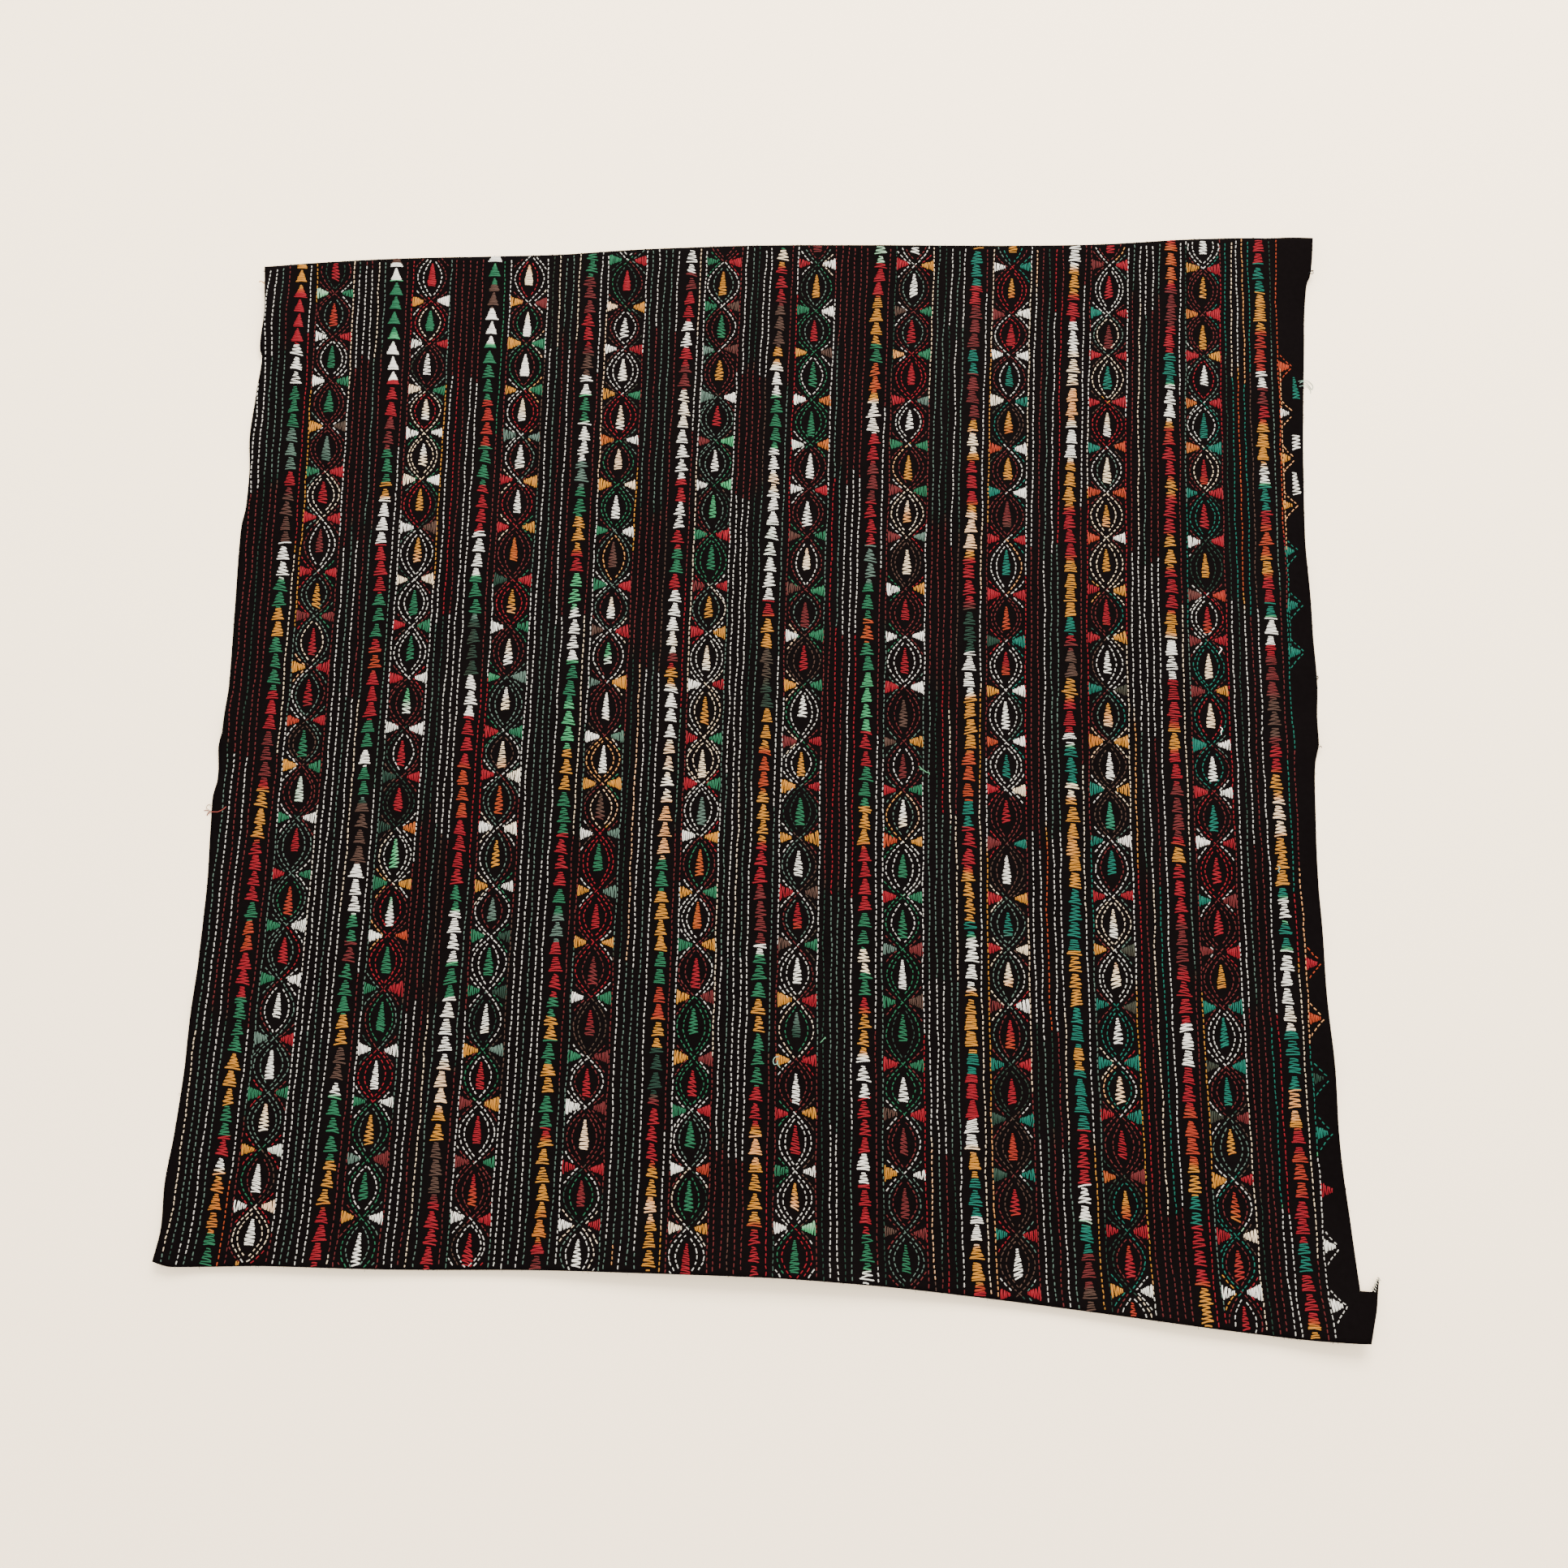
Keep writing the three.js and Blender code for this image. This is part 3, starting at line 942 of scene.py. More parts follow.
def factor(rng, kind):
    return rng.uniform(*FACTORS[kind])


def errors(rng, kind, count):
    deviation, least, most = ERRORS[kind]
    return rng.normal(1, deviation, count).clip(least, most)


def stray(rng, kind, size=None):
    return rng.normal(0, STRAYS[kind], size)


def wobble(rng, kind):
    """A hand's small wandering along a line, as a function of the distance along it."""
    amount, waves = WANDERINGS[kind]
    turns = rng.uniform(0, 2 * np.pi, len(waves))
    sizes = amount * rng.uniform(*FACTORS["wave"], len(waves)) * WAVE_SIZES

    def wander(at):
        at = np.asarray(at, float)
        return sum(s * np.sin(2 * np.pi * at / w + t) for s, w, t in zip(sizes, waves, turns))

    return wander


def hand_slant(rng):
    """How strongly a motif's strokes zigzag, and how they all lean."""
    return factor(rng, "zigzag"), stray(rng, "lean")


def slant_of(kind, solid, zigzag, lean):
    if solid:
        return SOLID_SLANT
    return SLANTS[kind][0] * zigzag, SLANTS[kind][1] * lean


# The skein: which colour comes where


def lot_of(index):
    """The right-hand columns are sewn with the second dye lot."""
    return 1 if index >= SECOND_LOT_FROM else 0


def shares_of(index, kind):
    return SHARES[kind][lot_of(index)]


def pick_shade(rng, shares):
    names = list(shares)
    odds = np.array([shares[name] for name in names])
    return names[rng.choice(len(names), p=odds / odds.sum())]


def next_shade(rng, name, shares):
    """Another shade. The two beside this one on the skein come up more often than their share."""
    order = list(SHADES)
    at = order.index(name)
    beside = {order[(at + step) % len(order)] for step in (-1, 1)}
    odds = {key: share * (NEIGHBOUR_ODDS if key in beside else 1.0) for key, share in shares.items()}
    odds.pop(name, None)
    return pick_shade(rng, odds)


def colour_runs(rng, kind, shares):
    """Runs of colour along a line of stitching: where each one ends, and its place on the skein."""
    length, mean_run = COLOUR_RUNS[kind]
    name = pick_shade(rng, shares)
    ends, places = [], []
    at = mean_run * rng.uniform(-FIRST_LOSS, 0)
    while at < length:
        at += mean_run * factor(rng, "run")
        ends.append(at)
        places.append(SHADES[name] + rng.uniform(-RUN_PLACE_SPREAD, RUN_PLACE_SPREAD))
        name = next_shade(rng, name, shares)
    return np.array(ends), np.array(places)


def one_colour(place):
    return np.array([ENDLESS]), np.array([place])


def skein_place(runs, at, blend):
    """The skein's place at a distance along the line. Colours that lie side by side blend."""
    ends, places = runs
    at = np.asarray(at, float)
    i = np.clip(np.searchsorted(ends, at), 0, len(ends) - 1)
    after = np.minimum(i + 1, len(ends) - 1)
    change = (places[after] - places[i] + 0.5) % 1 - 0.5
    near = np.clip(1 - (ends[i] - at) / BLENDS[blend], 0, 1)
    gradual = np.where(np.abs(change) < CLOSE_ON_SKEIN, near, 0)
    return (places[i] + change * gradual) % 1


# Stitches

START, END = slice(0, 2), slice(2, 4)
WIDTH, PLACE, LOT, BOW = 4, 5, 6, 7


class StitchBook:
    """Stitches of one piece: start, end, width, colour and bow of each, and those on the back."""

    def __init__(self):
        self.front, self.back = [], []

    def add(self, start, end, width, place, lot, bow=0.0, back=False):
        """start and end are arrays of points in millimetres, place is on the skein, lot is 0 or 1."""
        held = on_cloth(start[:, 0], start[:, 1]) & on_cloth(end[:, 0], end[:, 1])
        columns = [np.broadcast_to(np.asarray(v, float), len(start)) for v in (width, place, lot, bow)]
        rows = np.column_stack([start, end, *columns])[held]
        (self.back if back else self.front).append(rows)


def on_cloth(x, y, edge=0.4):
    """Whether points lie on the cloth, at least edge millimetres inside its cut edges."""
    inside = (y > bottom_y(x) + edge) & (y < top_y(x) - edge)
    return inside & (x > left_x(y) + edge) & (x < right_x(y) - edge)


def distance_along(path):
    steps = np.linalg.norm(np.diff(path, axis=0), axis=1)
    return np.concatenate([[0], np.cumsum(steps)])


def run_stitches(book, rng, path, runs, lot, blend="line", offset=0.0):
    """Running stitches along a path of close points, coloured by the distance along it."""
    threads = bpy.context.scene.blouse_threads
    length, gap = threads.stitch / MM, threads.gap / MM
    along = distance_along(path)
    spare_share, spare = 1.15, 4
    count = int(along[-1] / (length + gap) * spare_share) + spare
    lengths = length * errors(rng, "length", count)
    gaps = gap * errors(rng, "gap", count)
    starts = rng.uniform(-1, 0) * (length + gap) + np.concatenate([[0], np.cumsum(lengths + gaps)[:-1]])
    ends = starts + lengths
    used = (ends < along[-1]) & (starts > 0)
    starts, ends = starts[used], ends[used]
    points = [np.column_stack([np.interp(s, along, path[:, k]) for k in (0, 1)]) for s in (starts, ends)]
    points = [end + stray(rng, "stitch end", end.shape) for end in points]
    place = skein_place(runs, (starts + ends) / 2 + offset, blend)
    width = threads.width / MM * errors(rng, "width", len(starts))
    book.add(points[0], points[1], width, place, lot)
    book.add(points[1][:-1], points[0][1:], width[1:], place[1:], lot, back=True)


def column_x(index, y):
    at, lean, bow = COLUMNS[index]
    u = np.asarray(y, float) / COLUMN_REACH
    return at + lean * u + bow * u * u


def across(index, offset, y):
    """x of a line that runs beside column index, at an offset within the repeat."""
    here = column_x(index, y)
    scale = 1.0
    if index < LAST_COLUMN:
        scale = (column_x(index + 1, y) - here) / REPEAT
    return here + offset * scale


def crossings(index):
    """Heights of the crossings of one column of ovals, from the bottom up."""
    rng = np.random.default_rng(CROSSING_SEED + index)
    rows = np.array(CROSSING_ROWS, float) + COLUMN_SHIFTS[index]
    return rows + stray(rng, "crossing", len(rows))


def line_path(rng, index, offset, kind):
    """A wandering line down the whole panel."""
    y = np.arange(LINE_TOP, LINE_BOTTOM, -LINE_STEP)
    wander = wobble(rng, kind)
    return np.column_stack([across(index, offset, y) + wander(y), y])


def band_blocks(rng):
    """Ends of a band's blocks of colour, and the shares that each block draws its shades from."""
    length, _ = COLOUR_RUNS["borders"]
    ends, shares = [], []
    at = -BAND_BLOCK * rng.uniform(0, FIRST_LOSS)
    while at < length:
        at += BAND_BLOCK * factor(rng, "block")
        ends.append(at)
        shares.append(BLOCK_SHARES[rng.choice(len(BLOCK_ODDS), p=BLOCK_ODDS)])
    return np.array(ends), shares


def sew_band_lines(book, rng):
    """The bands of five lines between the columns, and those left of the first column."""
    for band in range(-1, LAST_COLUMN):
        index = max(band, 0)
        shift = -REPEAT if band < 0 else 0.0
        ends, shares = band_blocks(rng)
        if lot_of(index):
            shares = [s if rng.random() < FIRST_LOT_BLOCKS else SECOND_LOT_LINES for s in shares]
        for offset in BAND_LINES:
            path = line_path(rng, index, offset + shift, "band")
            places = []
            for share in shares:
                place = SHADES[pick_shade(rng, share)]
                places.append(place + rng.uniform(-PLACE_SPREAD, PLACE_SPREAD))
            runs = (ends + stray(rng, "block end"), np.array(places))
            run_stitches(book, rng, path, runs, lot_of(index), "band")


def sew_side_lines(book, rng):
    """The line beside each column of triangles, and the two borders of each column of ovals."""
    margin_places = [SHADES[name] for name in MARGIN_LINE.values()]
    margin_runs = (np.array(list(MARGIN_LINE), float), np.array(margin_places))
    for index in range(len(COLUMNS)):
        offsets = [BESIDE_TRIANGLES, LEFT_BORDER, RIGHT_BORDER]
        if index == LAST_COLUMN:
            offsets.remove(RIGHT_BORDER)
        for offset in offsets:
            path = line_path(rng, index, offset, "border")
            runs = colour_runs(rng, "borders", shares_of(index, "borders"))
            if index == LAST_COLUMN and offset == LEFT_BORDER:
                runs = margin_runs
            run_stitches(book, rng, path, runs, lot_of(index), "border")


def eye_shades(rng, index, count):
    """A shade for each oval of a column. The thread is mostly changed from one oval to the next."""
    shares = shares_of(index, "ovals")
    name = pick_shade(rng, shares)
    names = []
    for _ in range(count):
        names.append(name)
        if rng.random() < OVAL_CHANGE:
            name = next_shade(rng, name, shares)
    return names


def like_the_eye(rng, index, names, likeness):
    """Places on the skein for one line of each oval: mostly the oval's own shade, or another."""
    others = shares_of(index, "ovals")
    shades = [name if rng.random() < likeness else pick_shade(rng, others) for name in names]
    places = np.array([SHADES[shade] for shade in shades])
    return places + rng.uniform(-PLACE_SPREAD, PLACE_SPREAD, len(names))


def sew_outer_ovals(book, rng, index, rows, names):
    """Two lines that cross at every crossing and swing out between them."""
    y = np.arange(rows[-1] + OUTER_OVAL_PAST, rows[0] - OUTER_OVAL_PAST, -OUTER_OVAL_STEP)
    order = np.interp(y, rows, np.arange(len(rows)))
    swing = np.sin(np.pi * order)
    change, turn = OVAL_SIZE_WAVE
    size = 1 + change * np.sin(turn * order + index)
    middle = across(index, OVALS_MIDDLE, y)
    for side in (-1, 1):
        wander = wobble(rng, "oval")
        path = np.column_stack([middle + side * OUTER_OVAL_HALF * size * swing + wander(y), y])
        ends = np.interp(-rows[::-1], -y, distance_along(path)) + stray(rng, "oval end", len(rows))
        runs = (ends, like_the_eye(rng, index, names, OUTER_LIKENESS))
        run_stitches(book, rng, path, runs, lot_of(index), "outer oval")


def sew_inner_ovals(book, rng, index, rows, names):
    """A pointed oval inside each outer one, sewn down one side and back up the other."""
    places = like_the_eye(rng, index, names, INNER_LIKENESS)
    share = np.linspace(0, 1, INNER_OVAL_POINTS)
    bulge = np.sin(np.pi * share) ** INNER_OVAL_FULLNESS
    for k in range(len(rows) - 1):
        low, high = rows[k] + INNER_OVAL_INSET, rows[k + 1] - INNER_OVAL_INSET
        y = mix(high, low, share)
        half = INNER_OVAL_HALF * factor(rng, "oval") * bulge
        middle = across(index, OVALS_MIDDLE, y) + stray(rng, "oval middle")
        runs = one_colour(places[len(rows) - 1 - k])
        for side in (-1, 1):
            path = np.column_stack([middle + side * half, y])
            run_stitches(book, rng, path, runs, lot_of(index))


def sew_fan_frames(book, rng, index, rows, sides=(-1, 1), shades=None):
    """A running line that leaves the border, comes to a point beside the crossing and goes back."""
    share = np.linspace(0, 1, FRAME_POINTS)
    for side in sides:
        runs = colour_runs(rng, "frames", shares_of(index, "ovals"))
        bend = side * FRAME_BEND * np.sin(np.pi * share)
        for k, row in enumerate(rows):
            if shades:
                runs = one_colour(SHADES[shades[k]])
            up, down = FRAME_UP * factor(rng, "frame"), FRAME_DOWN * factor(rng, "frame")
            tip = across(index, OVALS_MIDDLE, row) + side * FRAME_APEX * factor(rng, "frame tip")
            for y_end in (row + up, row - down):
                corner = across(index, BORDER_BY_SIDE[side], y_end) - side * FRAME_BEND
                path = np.column_stack([mix(corner, tip, share) + bend, mix(y_end, row, share)])
                run_stitches(book, rng, path, runs, lot_of(index), offset=k * FRAME_THREAD)


def stroke_shares(length, step, first=0.5):
    """Where the strokes of a motif lie along it. first is the first one's place in its step."""
    count = int(length / step)
    return (np.arange(count) + first) / count


def stroke_scale(kind, halves):
    full, most = STROKE_SCALES[kind]
    return np.minimum(halves / full, most)


def satin(book, rng, levels, middles, halves, places, lot, slant, upright=0):
    """Satin strokes at these levels, from side to side, each slanting back from the one before.

    upright turns them to stand beside each other, with 1 or -1 for the way in which they bow.
    """
    threads = bpy.context.scene.blouse_threads
    count = len(levels)
    zigzag, lean = slant
    ways = np.where(np.arange(count) % 2, 1, -1)
    tilt = (zigzag * ways + lean) * stroke_scale("tilt", halves) + stray(rng, "tilt", count)
    reach = halves * errors(rng, "satin reach", count)
    start = np.column_stack([middles - reach, levels - tilt / 2])
    end = np.column_stack([middles + reach, levels + tilt / 2])
    start = start + stray(rng, "satin end", start.shape)
    end = end + stray(rng, "satin end", end.shape)
    bow = SATIN_BOW * rng.normal(1, BOW_SPREAD, count) * stroke_scale("bow", halves)
    if upright:
        start, end = start[:, ::-1], end[:, ::-1]
        bow = -bow * upright
    width = threads.satin_width / MM * errors(rng, "satin width", count)
    book.add(start, end, width, places, lot, bow)
    sides = np.where(ways[:-1, None] > 0, start[:-1], end[:-1])
    nexts = np.where(ways[:-1, None] > 0, start[1:], end[1:])
    place = np.broadcast_to(places, count)[:-1]
    book.add(sides, nexts, width[:-1], place, lot, back=True)


def sew_triangles(book, rng):
    """Columns of triangles, tip up, one standing on the next."""
    for index in range(len(COLUMNS)):
        wander = wobble(rng, "triangles")
        runs = colour_runs(rng, "triangles", shares_of(index, "triangles"))
        tip = LINE_TOP - rng.uniform(0, TRIANGLE_PITCH)
        while top_y(column_x(index, tip)) < tip - TRIANGLE_TIP_PAST:
            tip -= TRIANGLE_PITCH
        number = 0
        hand = hand_slant(rng)
        while tip > LINE_BOTTOM:
            solid = number < SOLID_TRIANGLES.get(index, 0)
            pitch = (SOLID_TRIANGLE_PITCH if solid else TRIANGLE_PITCH) * factor(rng, "triangle")
            height = TRIANGLE_HEIGHT * factor(rng, "triangle")
            half = TRIANGLE_HALF * factor(rng, "triangle half")
            narrow, step = SOLID_TRIANGLE_TIP, SOLID_TRIANGLE_STEP
            if not solid:
                narrow = rng.uniform(*TRIANGLE_TIPS[lot_of(index)])
                step = TRIANGLE_STEP * factor(rng, "triangle step")
            share = stroke_shares(height, step, TRIANGLE_FIRST)
            levels = tip - share * height
            middles = column_x(index, levels) + wander(levels) + stray(rng, "triangle middle")
            places = skein_place(runs, LINE_TOP - levels, "triangle")
            if rng.random() < SLANT_CHANGE:
                hand = hand_slant(rng)
            slant = slant_of("triangle", solid, *hand)
            halves = mix(narrow, half, share)
            satin(book, rng, levels, middles, halves, places, lot_of(index), slant)
            tip -= pitch
            number += 1


def sew_drop(book, rng, index, crossing, place, solid):
    """A drop in the middle of an oval, hanging from its tip."""
    length = DROP_LENGTH * factor(rng, "drop")
    step = SOLID_MOTIF_STEP if solid else DROP_STEP * factor(rng, "drop step")
    share = stroke_shares(length, step)
    levels = crossing - DROP_TOP * factor(rng, "drop top") - share * length
    half = np.interp(share, DROP_SHAPE["share"], DROP_SHAPE["half"]) * factor(rng, "motif half")
    middles = across(index, OVALS_MIDDLE, levels) + stray(rng, "drop middle")
    places = (place + np.linspace(0, rng.choice(DROP_CHANGES), len(share))) % 1
    slant = slant_of("drop", solid, *hand_slant(rng))
    satin(book, rng, levels, middles, half, places, lot_of(index), slant)


def sew_fan(book, rng, index, crossing, side, place, solid=False, depth=FAN_DEPTH):
    """A fan that stands on the border and points at the crossing, with upright strokes."""
    size = factor(rng, "fan")
    step = SOLID_MOTIF_STEP if solid else FAN_STEP * factor(rng, "fan step")
    share = stroke_shares(depth * size, step, FAN_FIRST)
    x = across(index, BORDER_BY_SIDE[side], crossing) - side * (FAN_INSET + share * depth * size)
    half = FAN_HALF * size * mix(1, FAN_TIP_SHARE, share) * factor(rng, "motif half")
    middle = np.full(len(share), crossing + stray(rng, "fan middle"))
    slant = slant_of("fan", solid, *hand_slant(rng))
    satin(book, rng, x, middle, half, place, lot_of(index), slant, upright=side)


def sew_drops_and_fans(book, rng):
    for index in range(LAST_COLUMN):
        rows = crossings(index)
        shares = shares_of(index, "motifs")
        drops, left, right = (colour_runs(rng, kind, shares) for kind in ("drops", "fans", "fans"))
        for k, row in enumerate(rows):
            at = k * CROSSING_PITCH
            solid = k >= len(rows) - SOLID_MOTIFS.get(index, 0)
            sew_drop(book, rng, index, row, skein_place(drops, at, "motif"), solid)
            sew_fan(book, rng, index, row, -1, skein_place(left, at, "motif"), solid)
            sew_fan(book, rng, index, row, 1, skein_place(right, at, "motif"), solid)


def sew_margin(running, satin_book, rng):
    """The last column of ovals was begun and left: some fans with their frames, and three drops."""
    index = LAST_COLUMN
    rows, lot = crossings(index), lot_of(index)
    for k, name in MARGIN_FANS.items():
        sew_fan(satin_book, rng, index, rows[k], -1, SHADES[name], depth=MARGIN_FAN_DEPTH)
    for k, (name, under, length, halves) in MARGIN_DROPS.items():
        share = stroke_shares(length, DROP_STEP)
        levels = rows[k] - under - share * length
        half = mix(*halves, share)
        middles = right_x(levels) - MARGIN_DROP_INSET + half
        satin(satin_book, rng, levels, middles, half, SHADES[name], lot, MARGIN_DROP_SLANT)
    framed, shades = list(MARGIN_FRAMES), list(MARGIN_FRAMES.values())
    sew_fan_frames(running, rng, index, rows[framed], sides=(-1,), shades=shades)
    for name, (low, high) in MARGIN_JOINED_ROWS.items():
        y = np.arange(rows[high], rows[low], -LINE_STEP)
        path = np.column_stack([across(index, MARGIN_JOINED_LINE, y), y])
        run_stitches(running, rng, path, one_colour(SHADES[name]), lot)


# Loose and frayed ends


def tube(points, radius, sides):
    """Vertices and faces of a closed round thread through the points, its ends a little pinched."""
    keys = np.arange(len(points))
    fine = np.linspace(0, len(points) - 1, THREAD_STEPS * (len(points) - 1) + 1)
    path = np.column_stack([smooth_through(keys, points[:, k])(fine) for k in range(3)])
    heading = np.gradient(path, axis=0)
    heading /= np.linalg.norm(heading, axis=1, keepdims=True)
    aside = np.cross(heading, (0, 0, 1))
    aside /= np.linalg.norm(aside, axis=1, keepdims=True) + 1e-9
    rise = np.cross(aside, heading)
    turns = np.linspace(0, 2 * np.pi, sides, endpoint=False)
    ring = np.cos(turns)[None, :, None] * aside[:, None] + np.sin(turns)[None, :, None] * rise[:, None]
    size = np.full(len(path), radius)
    size[[0, -1]] *= THREAD_PINCH
    verts = (path[:, None] + ring * size[:, None, None]).reshape(-1, 3)
    faces = []
    for j in range(len(path) - 1):
        for i in range(sides):
            a, b = j * sides + i, j * sides + (i + 1) % sides
            faces.append((a, b, b + sides, a + sides))
    last = (len(path) - 1) * sides
    faces.append(tuple(range(sides))[::-1])
    faces.append(tuple(last + i for i in range(sides)))
    return verts.tolist(), faces


def loose_thread_mesh(name, shade):
    verts, faces = [], []
    for thread_shade, radius, points in LOOSE_THREADS:
        if thread_shade != shade:
            continue
        points = np.array(points, float)
        path = on_face(points)
        path[:, 2] += points[:, 2] * MM
        new_verts, new_faces = tube(path, radius * MM, THREAD_SIDES)
        faces += [tuple(i + len(verts) for i in face) for face in new_faces]
        verts += new_verts
    return smooth_mesh(name, verts, faces)


def one_colour_rows(start, end, width):
    """Rows of stitches whose material has one colour, so that their place on the skein is free."""
    rest = np.tile([SHADES["white"], 0, 0], (len(width), 1))
    return np.column_stack([start, end, width, rest])


def headings(rng, degrees, spread, count):
    """Unit vectors that spread round one heading."""
    turn = np.radians(rng.normal(degrees, spread, count))
    return np.column_stack([np.cos(turn), np.sin(turn)])


def fray_rows(rng, kind):
    """Thread ends across the tab's torn edge: the pale ones, or the black ones between them."""
    count, *widths = FRAY_ENDS[kind]
    share = stroke_shares(count, 1) + rng.normal(0, FRAY_SPREAD, count)
    at = np.column_stack([mix(FRAY_START[k], FRAY_END[k], share) for k in (0, 1)])
    way = headings(rng, *FRAY_WAY, count)
    inner = at - way * rng.uniform(*FRAY_INNER, (count, 1))
    outer = at + way * rng.uniform(*FRAY_OUTER, (count, 1))
    return one_colour_rows(inner, outer, rng.uniform(*widths, count))


def fibre_rows(rng):
    """Short black fibres that stand out of the cut edges."""
    parts = []
    curves = {"top": top_y, "bottom": bottom_y, "left": left_x, "right": right_x}
    for edge, (count, out, stretch) in FIBRE_EDGES.items():
        along = rng.uniform(*stretch, count)
        at = np.column_stack([along, curves[edge](along)])
        if edge in ("left", "right"):
            at = at[:, ::-1]
        way = headings(rng, out, FIBRE_FAN, count)
        reach = rng.gamma(**FIBRE_REACH, size=(count, 1)).clip(*FIBRE_LIMITS)
        width = rng.uniform(*FIBRE_WIDTH, count)
        parts.append(one_colour_rows(at - way * FIBRE_ROOT, at + way * reach, width))
    return parts


# Geometry nodes that turn rows of stitches into thread


def long_stitch(graph, entry, position, is_end):
    """Three sides, their shoulders and two ends that dip into the cloth."""
    x, y, z = position
    maths = graph.maths
    shape = graph.add("GeometryNodeMeshCylinder", {
        "Vertices": STITCH_SIDES, "Side Segments": entry["Segments"], "Fill Segments": 1,
        "Radius": RING_RADIUS, "Depth": 2.0,
    }, fill_type="TRIANGLE_FAN")
    down = maths("SUBTRACT", x, maths("MULTIPLY", is_end, entry["Sink"]))
    is_ring = maths("SUBTRACT", 1.0, is_end)
    reach = maths("ADD", is_end, maths("MULTIPLY", is_ring, entry["Shoulder"]))
    place = graph.combine(down, y, maths("MULTIPLY", z, reach))
    return graph.move(shape.outputs["Mesh"], Position=place)


def short_stitch(graph, position, is_end):
    """Three sides and two points, for the back."""
    x, y, z = position
    maths = graph.maths
    shape = graph.add("GeometryNodeMeshCone", {
        "Vertices": STITCH_SIDES, "Side Segments": 1, "Fill Segments": 1, "Radius Top": 0.0,
        "Radius Bottom": RING_RADIUS, "Depth": 1.0,
    }, fill_type="TRIANGLE_FAN")
    low_end = maths("MULTIPLY", is_end, maths("LESS_THAN", z, 0.5))
    down = maths("SUBTRACT", x, maths("MULTIPLY", is_end, 0.5))
    place = graph.combine(down, y, maths("SUBTRACT", z, low_end))
    return graph.move(shape.outputs["Mesh"], Position=place)


def stitch_tree():
    """Geometry nodes: a stitch of thread laid along each point's run and standing on its normal."""
    graph, entry, leave = new_group("Hand stitches", "GeometryNodeTree", {
        "Stitches": "Geometry", "Rise": 0.5 * MM, "Shoulder": 0.5, "Sink": 0.9,
        "Skein reach": 0.0035, "Ply reach": 0.011, "Segments": 1, "Short": False,
        "Thread": "Material",
    }, {"Thread mesh": "Geometry"})
    graph.tree.is_modifier = True
    maths = graph.maths
    position = graph.split(graph.add("GeometryNodeInputPosition").outputs[0])
    x, y, z = position
    radius = maths("SQRT", maths("ADD", maths("MULTIPLY", x, x), maths("MULTIPLY", y, y)))
    is_end = maths("LESS_THAN", radius, END_RADIUS)
    stitch = graph.add("GeometryNodeSwitch", {
        "Switch": entry["Short"], "False": long_stitch(graph, entry, position, is_end),
        "True": short_stitch(graph, position, is_end),
    }, input_type="GEOMETRY").outputs["Output"]
    stitch = graph.store(stitch, "along", z)
    stitch = graph.store(stitch, "aside", y)

    # The stitch lies along its run, stands on the normal, and is as long as the run
    run, up = graph.read("run", "FLOAT_VECTOR"), graph.read("up", "FLOAT_VECTOR")
    align = "FunctionNodeAlignRotationToVector"
    lay = graph.add(align, {"Vector": run}, axis="Z", pivot_axis="AUTO").outputs["Rotation"]
    stand = graph.add(align, {"Rotation": lay, "Vector": up}, axis="X", pivot_axis="Z")
    length = graph.add("ShaderNodeVectorMath", {0: run}, operation="LENGTH").outputs["Value"]
    thick = maths("MULTIPLY", entry["Rise"], THICK_SHARE)
    wide = maths("MULTIPLY", graph.read("width"), WIDE_SHARE)
    placed = graph.add("GeometryNodeInstanceOnPoints", {
        "Points": entry["Stitches"], "Instance": stitch, "Rotation": stand.outputs["Rotation"],
        "Scale": graph.combine(thick, wide, length),
    })
    real = graph.add("GeometryNodeRealizeInstances", {"Geometry": placed.outputs["Instances"]})

    # It bows to one side, most at its middle, and takes its part of the skein's map
    along = graph.read("along")
    bulge = maths("SUBTRACT", 1.0, maths("MULTIPLY", along, along))
    inputs = {0: graph.read("bow", "FLOAT_VECTOR"), "Scale": bulge}
    curve = graph.add("ShaderNodeVectorMath", inputs, operation="SCALE").outputs["Vector"]
    bowed = graph.move(real.outputs["Geometry"], Offset=curve)
    u = maths("ADD", graph.read("place"), maths("MULTIPLY", along, entry["Skein reach"]))
    spread = maths("MULTIPLY", graph.read("aside"), entry["Ply reach"])
    v = maths("ADD", graph.read("strand"), spread)
    mapped = graph.store(bowed, BAKE_MAP, graph.combine(u, v, 0.0), "FLOAT2", "CORNER")
    smooth = graph.add("GeometryNodeSetShadeSmooth", {"Geometry": mapped}).outputs["Geometry"]
    inputs = {"Geometry": smooth, "Material": entry["Thread"]}
    finished = graph.add("GeometryNodeSetMaterial", inputs).outputs["Geometry"]
    graph.feed(leave["Thread mesh"], finished)
    return graph.tree


def set_inputs(modifier, **values):
    """Sets a geometry nodes modifier's inputs by their sockets' identifiers."""
    for item in modifier.node_group.interface.items_tree:
        key = item.name.replace(" ", "_").lower()
        if item.item_type == "SOCKET" and item.in_out == "INPUT" and key in values:
            modifier[item.identifier] = values[key]


def add_field(mesh, name, values):
    """Stores a number or a vector for each point of the mesh."""
    kind, key = ("FLOAT", "value") if values.ndim == 1 else ("FLOAT_VECTOR", "vector")
    field = mesh.attributes.new(name, kind, "POINT")
    field.data.foreach_set(key, values.astype(np.float32).ravel())


